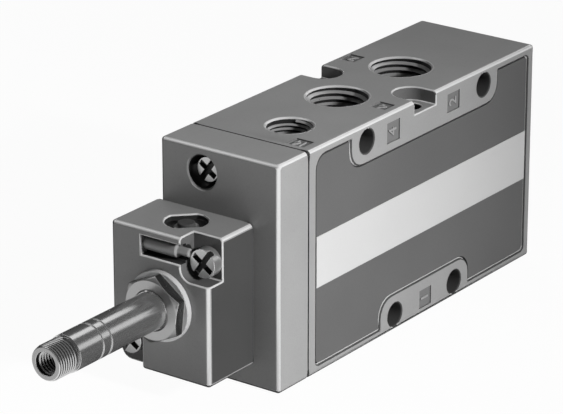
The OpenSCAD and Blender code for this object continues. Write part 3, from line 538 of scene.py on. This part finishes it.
# Raised numbers on the floors of the tiles
def addNumbers():
    shape = bmesh.new()
    for number, place, outward, (along, across) in tiles["places"]:
        curve = bpy.data.curves.new("number", "FONT")
        curve.body, curve.align_x, curve.align_y = number, "CENTER", "CENTER"
        curve.size, curve.extrude = tiles["height"], tiles["relief"] / 2
        curve.bevel_depth, curve.offset = tiles["rounding"], tiles["swell"]
        writing = link("writing", curve)
        shown = writing.evaluated_get(bpy.context.evaluated_depsgraph_get())
        mesh = bpy.data.meshes.new_from_object(shown)
        squeeze = tiles["narrow"] if len(number) > 1 else 1.0
        lift = (tiles["relief"] / 2 - tiles["depth"]) * mm
        mesh.transform(tileFrame(place, outward) @ Matrix.Translation((0, 0, lift))
                       @ Matrix.Diagonal((mm * squeeze, mm, mm, 1)))
        shape.from_mesh(mesh)
        bpy.data.objects.remove(writing)
    bmesh.ops.remove_doubles(shape, verts=shape.verts, dist=tiles["merge"] * mm)
    mesh = bpy.data.meshes.new("portNumbers")
    shape.to_mesh(mesh)
    shape.free()
    mesh.materials.append(finishes["cast_aluminium"])
    piece = link("portNumbers", mesh)
    shadeByAngle(mesh, smoothAngles["numbers"])
    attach(piece, "valve")


# Threads and springs: a helix tree that puts one coil on every point, along the point's own direction
def helixTree(pointsPerTurn=56):
    tree = bpy.data.node_groups.new("helix", "GeometryNodeTree")
    graph = Graph(tree)
    graph.socket("Geometry", "Geometry")
    for name in ("Radius", "Depth", "Width", "Pitch", "Length", "Start"):
        graph.socket(name, "Float")
    graph.socket("Sides", "Int")
    graph.socket("Finish", "Material")
    graph.socket("Geometry", "Geometry", "OUTPUT")
    given = {name: graph.node("NodeGroupInput", out=name) for name in
             ("Geometry", "Radius", "Depth", "Width", "Pitch", "Length", "Start", "Sides", "Finish")}
    spiral = graph.node("GeometryNodeCurveSpiral", {}, {
        "Resolution": pointsPerTurn, "Rotations": given["Length"] / given["Pitch"],
        "Start Radius": given["Radius"], "End Radius": given["Radius"], "Height": given["Length"],
        "Reverse": True})
    upright = graph.node("GeometryNodeSetCurveNormal", {"mode": "Z_UP"}, {"Curve": spiral})
    below = graph.node("ShaderNodeCombineXYZ", {}, {"Z": -(given["Length"] + given["Start"])})
    placed = graph.node("GeometryNodeTransform", {}, {"Geometry": upright, "Translation": below})
    ring = graph.node("GeometryNodeCurvePrimitiveCircle", {}, {"Resolution": given["Sides"], "Radius": 1.0})
    size = graph.node("ShaderNodeCombineXYZ", {}, {"X": given["Depth"], "Y": given["Width"], "Z": 1.0})
    section = graph.node("GeometryNodeTransform", {}, {"Geometry": ring, "Scale": size})
    coil = graph.node("GeometryNodeCurveToMesh", {}, {
        "Curve": placed, "Profile Curve": section, "Fill Caps": True})
    outward = graph.node("GeometryNodeInputNamedAttribute", {"data_type": "FLOAT_VECTOR"},
                         {"Name": "outward"})
    turn = graph.node("FunctionNodeAlignRotationToVector", {"axis": "Z"}, {"Vector": outward})
    coils = graph.node("GeometryNodeInstanceOnPoints", {}, {
        "Points": given["Geometry"], "Instance": coil, "Rotation": turn})
    real = graph.node("GeometryNodeRealizeInstances", {}, {"Geometry": coils})
    done = graph.node("GeometryNodeSetMaterial", {}, {"Geometry": real, "Material": given["Finish"]})
    graph.node("NodeGroupOutput", {}, {"Geometry": done})
    return tree


helix = helixTree()


# Coils at some places, each a point and a direction; the values are in millimetres
def coils(name, places, values, finish, sides=4):
    mesh = bpy.data.meshes.new(name)
    mesh.from_pydata([point for point, direction in places], [], [])
    outward = mesh.attributes.new("outward", "FLOAT_VECTOR", "POINT")
    for i, (point, direction) in enumerate(places):
        outward.data[i].vector = direction
    piece = link(name, mesh)
    grown = piece.modifiers.new("helix", "NODES")
    grown.node_group = helix
    given = {key: value * mm for key, value in values.items()}
    given.update(Sides=sides, Finish=finish)
    for item in helix.interface.items_tree:
        if item.in_out == "INPUT" and item.name in given:
            grown[item.identifier] = given[item.name]
    settle(piece)
    shadeByAngle(piece.data, smoothAngles["coils"])
    return piece


# One piece out of several, with all their finishes
def joined(name, pieces):
    shape = bmesh.new()
    materials = []
    for piece in pieces:
        for material in piece.data.materials:
            if material not in materials:
                materials.append(material)
        places = [materials.index(material) for material in piece.data.materials]
        for poly in piece.data.polygons:
            poly.material_index = places[poly.material_index]
        shape.from_mesh(piece.data)
        bpy.data.objects.remove(piece)
    mesh = bpy.data.meshes.new(name)
    shape.to_mesh(mesh)
    shape.free()
    for material in materials:
        mesh.materials.append(material)
    shadeByAngle(mesh, smoothAngles["coils"])
    return link(name, mesh)


mounts = {mount["name"]: mount for mount in frame["record"]["mounts"]}
mainPorts = ["port_4", "port_2", "port_5", "port_1", "port_3"]
portNames = mainPorts + ["pilot_port_14"]

# Threads: the coil's radius, half the depth and width of its section, its pitch, length and start
pipeThread = {"Radius": 6.6, "Depth": 0.8, "Width": 0.42, "Pitch": 1.337, "Length": 10.0, "Start": 0.75}
pilotThread = {"Radius": 4.88, "Depth": 0.56, "Width": 0.3, "Pitch": 0.907, "Length": 6.4, "Start": 0.6}
exhaustThread = {"Radius": 2.5, "Depth": 0.3, "Width": 0.17, "Pitch": 0.8, "Length": 4.8, "Start": 0.6}
coilThread = {"Radius": 3.62, "Depth": 0.18, "Width": 0.15, "Pitch": 0.7, "Length": 4.95, "Start": 0.4}

# Body, in millimetres. Ports: how far a face may be off the wall, and depths below the mouth.
# Holes across the body: their middles from the joint with the cap and the underside, and their reach.
# Notches above the long holes: half their length, their height, and how far out their walls are.
# Recess in each side: how far out its floor and rim are, how far it lies in from the body's outline, and
# the middle, half the length and the foot of the notches on its upper edge.
# Bore: the height of its axis, and the radius within which its edges stay sharp behind the rear face.
bodyForms = {
    "wall": {"off": 0.06, "from": 0.3, "to": 25}, "rim": {"off": 0.9, "to": 0.9},
    "sideHoles": [(20.4, 46.2), (64.6, 46.2), (31.5, 3.6), (54.3, 3.6)], "sideHole": 3.1,
    "notch": {"half": 4.2, "height": 2.6, "walls": (7, 14.9)},
    "recess": {"floor": 14.4, "rim": 14.65, "inside": 1.1, "notch": (42.0, 4.6, 46.6)},
    "bore": {"height": 25, "radius": 9.2, "behind": 0.2}, "deep": 3.2, "across": 7.5, "frontBand": 0.45,
}
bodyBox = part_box("valve_body")
deepInBody = buried("valve_body", bodyForms["deep"])


# The mouth of a mount's hole and the direction out of it
def mouth(name):
    mount = mounts[name]
    outward = Vector(mount["axis"])
    return Vector(mount["pos_m"]) + outward * mount["dims"]["length_mm"] / 2 * mm, outward


# Where a point is at a port, in millimetres: how far out of the mouth, and how far off the wall
def atPort(name, point):
    place, outward = mouth(name)
    away = point - place
    along = away.dot(outward)
    return along / mm, (away - outward * along).length / mm - mounts[name]["dims"]["r_mm"], outward


def inPort(middle, normal):
    wall = bodyForms["wall"]
    for name in portNames:
        along, off, outward = atPort(name, middle)
        if off < wall["off"] and -wall["to"] < along < -wall["from"]:
            return True
    return False


# The bevel round the mouth of a port, which gets painted highlight
def inPortRim(middle, normal):
    rim = bodyForms["rim"]
    for name in portNames:
        along, off, outward = atPort(name, middle)
        if off < rim["off"] and along > -rim["to"] and normal.dot(outward) < 0.97:
            return True
    return False


# Walls of the holes across the body, which get painted shade
def inSideHole(middle, normal):
    near = any(math.hypot(middle.x - at(x, 0, z).x, middle.z - z * mm) < bodyForms["sideHole"] * mm
               for x, z in bodyForms["sideHoles"])
    return near and abs(normal.y) < 0.9


# Upright walls of the notches above the long holes, which get painted shade
def besideLongHole(middle, normal):
    notch = bodyForms["notch"]
    hole = mounts["down_holes"]["pos_m"]
    inside = abs(middle.x - hole[0]) < notch["half"] * mm and 0 < middle.z - hole[2] < notch["height"] * mm
    return inside and abs(normal.z) < 0.4 and notch["walls"][0] < abs(middle.y) / mm < notch["walls"][1]


# The roundings along the edge of the recess in each side get painted shade; those at the notches keep their
# painted highlight
def besidePanel(middle, normal):
    recess = bodyForms["recess"]
    notchMiddle, half, foot = recess["notch"]
    atNotch = abs(middle.x - at(notchMiddle, 0, 0).x) < half * mm and middle.z > foot * mm
    inside = depthIn(bodyBox, middle, (0, 2)) > recess["inside"] * mm
    return abs(middle.y) > recess["rim"] * mm and 0.15 < abs(normal.y) < 0.97 and inside and not atNotch


# Floor of the recess that the side panels lie in, which gets painted shade where it shows round the panels
def underPanel(middle, normal):
    return abs(normal.y) > 0.9 and abs(abs(middle.y) - bodyForms["recess"]["floor"] * mm) < 0.05 * mm


# The rounded edge beside the cap's gasket, which gets painted shade along the joint
def frontBand(middle, normal):
    return middle.x < bodyFront + bodyForms["frontBand"] * mm and abs(normal.x) > 0.1


def sharpInBody(middle):
    bore = bodyForms["bore"]
    inBore = math.hypot(middle.y, middle.z - bore["height"] * mm) < bore["radius"] * mm
    behind = middle.x < bodyBox[1][0] - bore["behind"] * mm
    seam = middle.x < bodyFront + 0.1 * mm and depthIn(bodyBox, middle, (1, 2)) > edges["seam"] * mm
    return inTile(middle) or (inBore and behind) or seam or deepInBody(middle)


# Painted highlight on the new and outer roundings and the port rims; painted shade on the far roundings, in
# holes, ports and notches, round the panels and along the joint with the cap
body = softened("valve_body", edges["body"], castEdgeHighlight, pockets=tiles["places"], keep=sharpInBody)
paint(body, castEdgeHighlight, outerEdge("valve_body"))
paint(body, edgeShade, farEdge("valve_body"))
paint(body, holeShade, acrossHole(body, bodyForms["across"]))
paint(body, castEdgeHighlight, inPortRim)
paint(body, holeShade, inPort)
paint(body, edgeShade, inSideHole)
paint(body, edgeShade, besidePanel)
paint(body, edgeShade, frontBand)
paint(body, notchCornerShade, besideLongHole)
paint(body, tileFloor, lambda middle, normal: inTile(middle, high=-0.02))
stand(paint(body, holeShade, underPanel), "valve_body")
addNumbers()
print("body with number tiles")

threads = joined("portThreads", [
    coils("main", [mouth(name) for name in mainPorts], pipeThread, cutThread),
    coils("pilot", [mouth("pilot_port_14")], pilotThread, cutThread)])
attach(threads, "valve")
print("threads in the ports")

# Cap, in millimetres: the middles of its screws with the reach round them, the least depth of its floors,
# the depth of buried edges, and the widest hole whose walls get painted shade
capForms = {"screws": [(4.4, 44.4), (-4.4, 10.0)], "screw": 4.4, "floor": 1, "deep": 1.2, "across": 7.5}
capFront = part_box("pilot_cap")[0][0]
deepInCap = buried("pilot_cap", capForms["deep"])


def sharpInCap(middle):
    atScrew = any(math.hypot(middle.y - y * mm, middle.z - z * mm) < capForms["screw"] * mm
                  for y, z in capForms["screws"])
    return atScrew or deepInCap(middle)


# Floors sunk into the cap's front, which get painted shade
def capFloor(middle, normal):
    return normal.x < -0.9 and middle.x > capFront + capForms["floor"] * mm


# Painted highlight on the cap's roundings; painted shade on the far roundings, in its holes and on its sunk
# floors
cap = softened("pilot_cap", edges["body"], castEdgeHighlight, keep=sharpInCap)
paint(cap, castEdgeHighlight, outerEdge("pilot_cap"))
paint(cap, edgeShade, farEdge("pilot_cap"))
paint(cap, holeShade, acrossHole(cap, capForms["across"]))
stand(paint(cap, holeShade, capFloor), "pilot_cap")

# Pilot block, in millimetres: the recess round the button, the window of the stepped pin, whose heights
# count from the body's underside and whose depths from the block's front, the notches of the screws, the
# radius round the tube's hole, the thickness of the near side that gets painted shade, and depth and hole
# width as in the cap
blockForms = {
    "button": {"middle": (-17.0, 3.35), "reach": 4.6, "foot": 29.0, "top": 0.35},
    "window": {"heights": (30.3, 34.5), "floor": (1.5, 5), "from": -1.3, "margin": 0.3, "sharp": (0.2, 6),
               "sharpFrom": -1.4},
    "notch": {"width": 7.7, "height": 9.3, "depth": 4.8, "skin": 0.4},
    "tubeHole": 7.2, "side": 0.2, "deep": 5.0, "across": 4.4,
}
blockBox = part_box("pilot_block")
blockLow, blockHigh = blockBox
axis = mouth("exhaust_thread")[0]
deepInBlock = buried("pilot_block", blockForms["deep"])


# Distance from the axis of the armature tube
def offAxis(point):
    return math.hypot(point.y - axis.y, point.z - axis.z)


def sharpInBlock(middle):
    window = blockForms["window"]
    low, high = window["heights"]
    inHeight = low - window["margin"] < middle.z / mm < high + window["margin"]
    inDepth = window["sharp"][0] * mm < middle.x - blockLow[0] < window["sharp"][1] * mm
    inWindow = inHeight and inDepth and middle.y > window["sharpFrom"] * mm
    return offAxis(middle) < blockForms["tubeHole"] * mm or inWindow or deepInBlock(middle)


# The recess round the override button, which gets painted shade
def buttonRecess(middle, normal):
    button = blockForms["button"]
    away = middle - at(*button["middle"], 0)
    inHeight = button["foot"] * mm < middle.z < blockHigh[2] - button["top"] * mm
    return inHeight and math.hypot(away.x, away.y) < button["reach"] * mm


# The inside of the stepped pin's window, which gets painted shade
def windowFloor(middle, normal):
    window = blockForms["window"]
    inHeight = window["heights"][0] * mm < middle.z < window["heights"][1] * mm
    inDepth = window["floor"][0] * mm < middle.x - blockLow[0] < window["floor"][1] * mm
    return inHeight and inDepth and middle.y > window["from"] * mm


# Walls and floors of the two notches that the block's screws sit in, which get painted shade
def inNotch(middle, normal):
    notch = blockForms["notch"]
    wide, high = notch["width"] * mm, notch["height"] * mm
    upper = middle.y < blockLow[1] + wide and middle.z > blockHigh[2] - high
    lower = middle.y > blockHigh[1] - wide and middle.z < blockLow[2] + high
    flat = abs(normal.x) < 0.05 or normal.x < -0.99
    inside = depthIn(blockBox, middle) > notch["skin"] * mm and middle.x < blockLow[0] + notch["depth"] * mm
    return (upper or lower) and flat and inside


# The block's near side, which gets painted shade
def nearSide(middle, normal):
    return normal.y < -0.99 and middle.y < blockLow[1] + blockForms["side"] * mm


# Painted shade on the block's near side, far roundings, holes, notches, button recess and window; painted
# highlight on its other roundings
block = softened("pilot_block", edges["block"], blockEdgeHighlight, keep=sharpInBlock)
paint(block, blockSideShade, nearSide)
paint(block, blockEdgeHighlight, outerEdge("pilot_block"))
paint(block, edgeShade, farEdge("pilot_block"))
paint(block, holeShade, acrossHole(block, blockForms["across"]))
paint(block, notchWallShade, inNotch)
paint(block, holeShade, buttonRecess)
stand(paint(block, holeShade, windowFloor), "pilot_block")

# Widths of the roundings of the smaller pieces
smallEdges = {"panels": 0.1, "bands": 0.03, "plug": 0.25, "ring": 0.1, "screws": 0.12, "pin": 0.3,
              "button": 0.25}
stand(softened("side_panels", smallEdges["panels"]), "side_panels")
stand(softened("band_strips", smallEdges["bands"], segments=2), "band_strips")
stand(softened("end_plug", smallEdges["plug"], castEdgeHighlight), "end_plug")
stand(softened("retaining_ring", smallEdges["ring"]), "retaining_ring")
print("cap, block, panels and rear plug")

# Screw heads with slots in painted shade, in millimetres: what a slot's width stays under, and how deep its
# floor lies
screwForms = {"across": 1.35, "floor": (0.4, 1.7)}


# Floors of the cross slots, counted from the front of the upper or the lower screw; they get painted shade
def slotFloor(piece, node):
    low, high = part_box(node)
    split = (low[2] + high[2]) / 2
    points = [vert.co for vert in piece.data.vertices]
    fronts = [min(point.x for point in points if (point.z > split) == upper) for upper in (False, True)]
    least, most = screwForms["floor"]

    def test(middle, normal):
        return normal.x < -0.7 and least * mm < middle.x - fronts[middle.z > split] < most * mm

    return test


for node in ("cap_screws", "block_screws"):
    # Painted highlight on the screw heads' roundings and painted shade in their slots
    screws = softened(node, smallEdges["screws"], rimHighlight)
    paint(screws, holeShade, acrossHole(screws, screwForms["across"]))
    paint(screws, holeShade, slotFloor(screws, node))
    stand(screws, node)

stand(softened("stepped_pin", smallEdges["pin"]), "stepped_pin")
stand(softened("override_button", smallEdges["button"]), "override_button")
print("screws, pin and button")

# Nut, washer and tube, in millimetres: roundings, how far from the axis the nut's flats begin, the radius
# within which the tube's edges stay sharp, and how far in front of the nut its rounded part ends
nutForms = {"nut": 0.12, "washer": 0.2, "tube": 0.06, "flat": 5.6, "tubeWall": 3.7, "tubeEnd": 1}
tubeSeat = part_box("tube_nut")[0][0] - nutForms["tubeEnd"] * mm


# The nut's side flats, which get painted shade
def nutSide(middle, normal):
    return abs(normal.x) < 0.25 and offAxis(middle) > nutForms["flat"] * mm


def insideTube(middle):
    return offAxis(middle) < nutForms["tubeWall"] * mm or middle.x > tubeSeat


# Painted highlight on the roundings of nut and tube and on the washer's face; painted shade on the nut's
# front and flats and on the washer's other faces
nut = softened("tube_nut", nutForms["nut"], rimHighlight)
paint(nut, frontFaceShade, lambda middle, normal: normal.x < -0.7)
stand(paint(nut, nutFlatShade, nutSide), "tube_nut")
washer = softened("tube_washer", nutForms["washer"], washerSideShade)
paint(washer, washerSideShade, lambda middle, normal: normal.x < 0.5)
stand(paint(washer, washerFaceHighlight, lambda middle, normal: normal.x < -0.8), "tube_washer")
stand(softened("armature_tube", nutForms["tube"], rimHighlight, keep=insideTube), "armature_tube")

# Core, in millimetres: the plain thread is turned down to its root, and ridges are wound on it
coreForms = {"rounding": 0.14, "sharpFrom": 0.9, "plain": 3.64, "root": 3.58, "length": 5.6}
core = softened("fixed_core", coreForms["rounding"], rimHighlight,
                keep=lambda middle: middle.x > axis.x + coreForms["sharpFrom"] * mm)
for vert in core.data.vertices:
    away = Vector((0, vert.co.y - axis.y, vert.co.z - axis.z))
    if away.length > coreForms["plain"] * mm:
        vert.co -= away * (1 - coreForms["root"] * mm / away.length)


# Walls of the threaded hole and of the thread's root, which get painted shade
def underRidges(middle, normal):
    away = offAxis(middle) / mm
    inside = away < mounts["exhaust_thread"]["dims"]["r_mm"] + 0.01 or away > coreForms["root"] - 0.06
    return abs(normal.x) < 0.3 and inside and middle.x < axis.x + coreForms["length"] * mm


# Painted shade on the core's front face, the threaded hole and the thread's root; its roundings carry
# painted highlight
paint(core, frontFaceShade, lambda middle, normal: normal.x < -0.9)
paint(core, holeShade, underRidges)
end = mouth("exhaust_thread")
core = joined("coreDressed", [core, coils("outer", [end], coilThread, brightRidge),
                              coils("inner", [end], exhaustThread, brightRidge)])
stand(core, "fixed_core")
print("nut, washer, tube and core")

# Springs wound in place of their nodes and not squeezed: the joint, the direction of the spring as 0 for X
# or 2 for Z, the radius of the wire in millimetres and the turns
springs = {"return_spring": ("spool_slide", 0, 0.35, 9), "armature_spring": ("armature_slide", 0, 0.2, 10),
           "override_spring": ("button_press", 2, 0.18, 4)}


def addSpring(node, joint, along, wire, turns):
    low, high = (Vector(corner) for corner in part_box(node))
    size = high - low
    outward = Vector((0, 0, 0))
    outward[along] = 1
    top = (low + high) / 2 + outward * size[along] / 2
    across = size[(along + 1) % 3] / mm
    length = size[along] / mm - 2 * wire
    values = {"Radius": across / 2 - wire, "Depth": wire, "Width": wire, "Pitch": length / turns,
              "Length": length, "Start": wire}
    piece = coils(node + ".wound", [(top, outward)], values, finishes["spring_steel"], sides=14)
    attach(piece, "valve")
    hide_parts(node)
    move = next(item for item in frame["record"]["behaviour"]["joints"] if item["name"] == joint)
    held = move["deforming_nodes"][0]
    fixed = (low + high) / 2
    fixed[along] = held["fixed_end_%s_m" % "xyz"[along]]
    keep = 1 - (move["range_m"][1] - move["range_m"][0]) / size[along]
    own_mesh(piece)


for node, values in springs.items():
    addSpring(node, *values)
print("springs")

# Finishes for the CAD nodes, for those that show as they are
for node, cad in nodes.items():
    cad.data.materials.clear()
    cad.data.materials.append(finishes[slots[node]])

# Lamps, reflector cards, world and floor. The camera sees the floor with the strength of glow. In the
# metal's reflections the floor is dark, by darkness, and turns to bright, by shine, between the two places
# in brightFloor along X.
studio = {
    "key": {"place": (-0.10, -1.3, 0.57), "aim": (-0.075, 0, 0.03), "power": 136, "radius": 0.08,
            "angle": 14.5},
    "soft": {"top": {"place": (0.3, 0.35, 1.4), "power": 1.8, "size": 0.9},
             "back": {"place": (0.75, 1.0, 0.26), "power": 9, "size": 0.5}},
    "world": 0.05, "floor": grey(0.86), "darkFloor": grey(0.02), "floorSize": 4.0, "floorGap": 0.0001,
    "glow": 0.955, "brightFloor": (-0.079, -0.092), "darkness": 0.97, "shine": 0.75,
    "cards": [{"place": (-0.48, 0.66, 0.92), "size": (0.8, 0.8), "strength": 1.0},
              {"place": (0.90, -0.66, 0.45), "size": (0.42, 0.9), "strength": 0.7},
              {"place": (0.90, 0.20, 0.80), "size": (0.9, 0.45), "strength": 0.95}],
}


def facing(place, aim=(-0.05, 0, 0.025)):
    turn = (Vector(place) - Vector(aim)).to_track_quat("Z", "Y").to_matrix().to_4x4()
    return Matrix.Translation(place) @ turn


def addLamps():
    key = studio["key"]
    spot = bpy.data.lights.new("key", "SPOT")
    spot.energy, spot.shadow_soft_size = key["power"], key["radius"]
    spot.spot_size, spot.spot_blend = math.radians(key["angle"]), 1.0
    placed = [(spot, facing(key["place"], key["aim"]))]
    for name, values in studio["soft"].items():
        area = bpy.data.lights.new(name, "AREA")
        area.energy, area.size = values["power"], values["size"]
        placed.append((area, facing(values["place"])))
    for lamp, matrix in placed:
        holder = bpy.data.objects.new(lamp.name, lamp)
        holder.matrix_world = matrix
        holder.visible_glossy = False
        bpy.context.scene.collection.objects.link(holder)


# A card that only the metal's reflections see
def addCard(number, card):
    shape = bmesh.new()
    width, height = card["size"]
    matrix = facing(card["place"]) @ Matrix.Diagonal((height / 2, width / 2, 1, 1))
    bmesh.ops.create_grid(shape, x_segments=1, y_segments=1, size=1.0, matrix=matrix)
    mesh = bpy.data.meshes.new("card%d" % number)
    shape.to_mesh(mesh)
    shape.free()
    material = bpy.data.materials.new(mesh.name)
    material.use_nodes = True
    graph = Graph(material.node_tree)
    light = graph.node("ShaderNodeEmission", {}, {"Color": grey(1.0), "Strength": card["strength"]})
    graph.node("ShaderNodeOutputMaterial", {}, {"Surface": light})
    mesh.materials.append(material)
    piece = link(mesh.name, mesh)
    piece.visible_camera = piece.visible_diffuse = piece.visible_shadow = False


def addFloor():
    shape = bmesh.new()
    bmesh.ops.create_grid(shape, x_segments=1, y_segments=1, size=studio["floorSize"])
    mesh = bpy.data.meshes.new("floor")
    shape.to_mesh(mesh)
    shape.free()
    floor = link("floor", mesh)
    floor.location.z = cadBox[0][2] - studio["floorGap"]
    material, graph, place = newFinish("paleFloor")
    side = graph.node("ShaderNodeSeparateXYZ", {}, {"Vector": place}, "X")
    start, end = studio["brightFloor"]
    far = graph.node("ShaderNodeMapRange", {}, {"Value": side, "From Min": start, "From Max": end})
    shiny = graph.node("ShaderNodeLightPath", out="Is Glossy Ray")
    color = graph.mix((1 - far) * shiny * studio["darkness"], studio["floor"], studio["darkFloor"])
    plain = graph.node("ShaderNodeBsdfPrincipled", {}, {"Base Color": color, "Roughness": 0.8})
    glow = graph.node("ShaderNodeEmission", {}, {"Color": grey(1.0), "Strength": 1.0})
    camera = graph.node("ShaderNodeLightPath", out="Is Camera Ray")
    both = graph.node("ShaderNodeMixShader", {}, {
        0: camera * studio["glow"] + shiny * far * studio["shine"], 1: plain, 2: glow})
    graph.node("ShaderNodeOutputMaterial", {}, {"Surface": both})
    mesh.materials.append(material)


def addWorld():
    world = bpy.data.worlds.new("studio")
    world.use_nodes = True
    bpy.context.scene.world = world
    graph = Graph(world.node_tree)
    camera = graph.node("ShaderNodeLightPath", out="Is Camera Ray")
    through = graph.node("ShaderNodeLightPath", out="Is Transmission Ray")
    level = graph.node("ShaderNodeMath", {"operation": "MAXIMUM"}, {0: camera, 1: through})
    strength = studio["world"] + level * (1 - studio["world"])
    light = graph.node("ShaderNodeBackground", {}, {"Color": grey(1.0), "Strength": strength})
    graph.node("ShaderNodeOutputWorld", {}, {"Surface": light})


def addStudio():
    addLamps()
    for number, card in enumerate(studio["cards"]):
        addCard(number, card)
    addWorld()
    addFloor()


addStudio()
print("studio set")
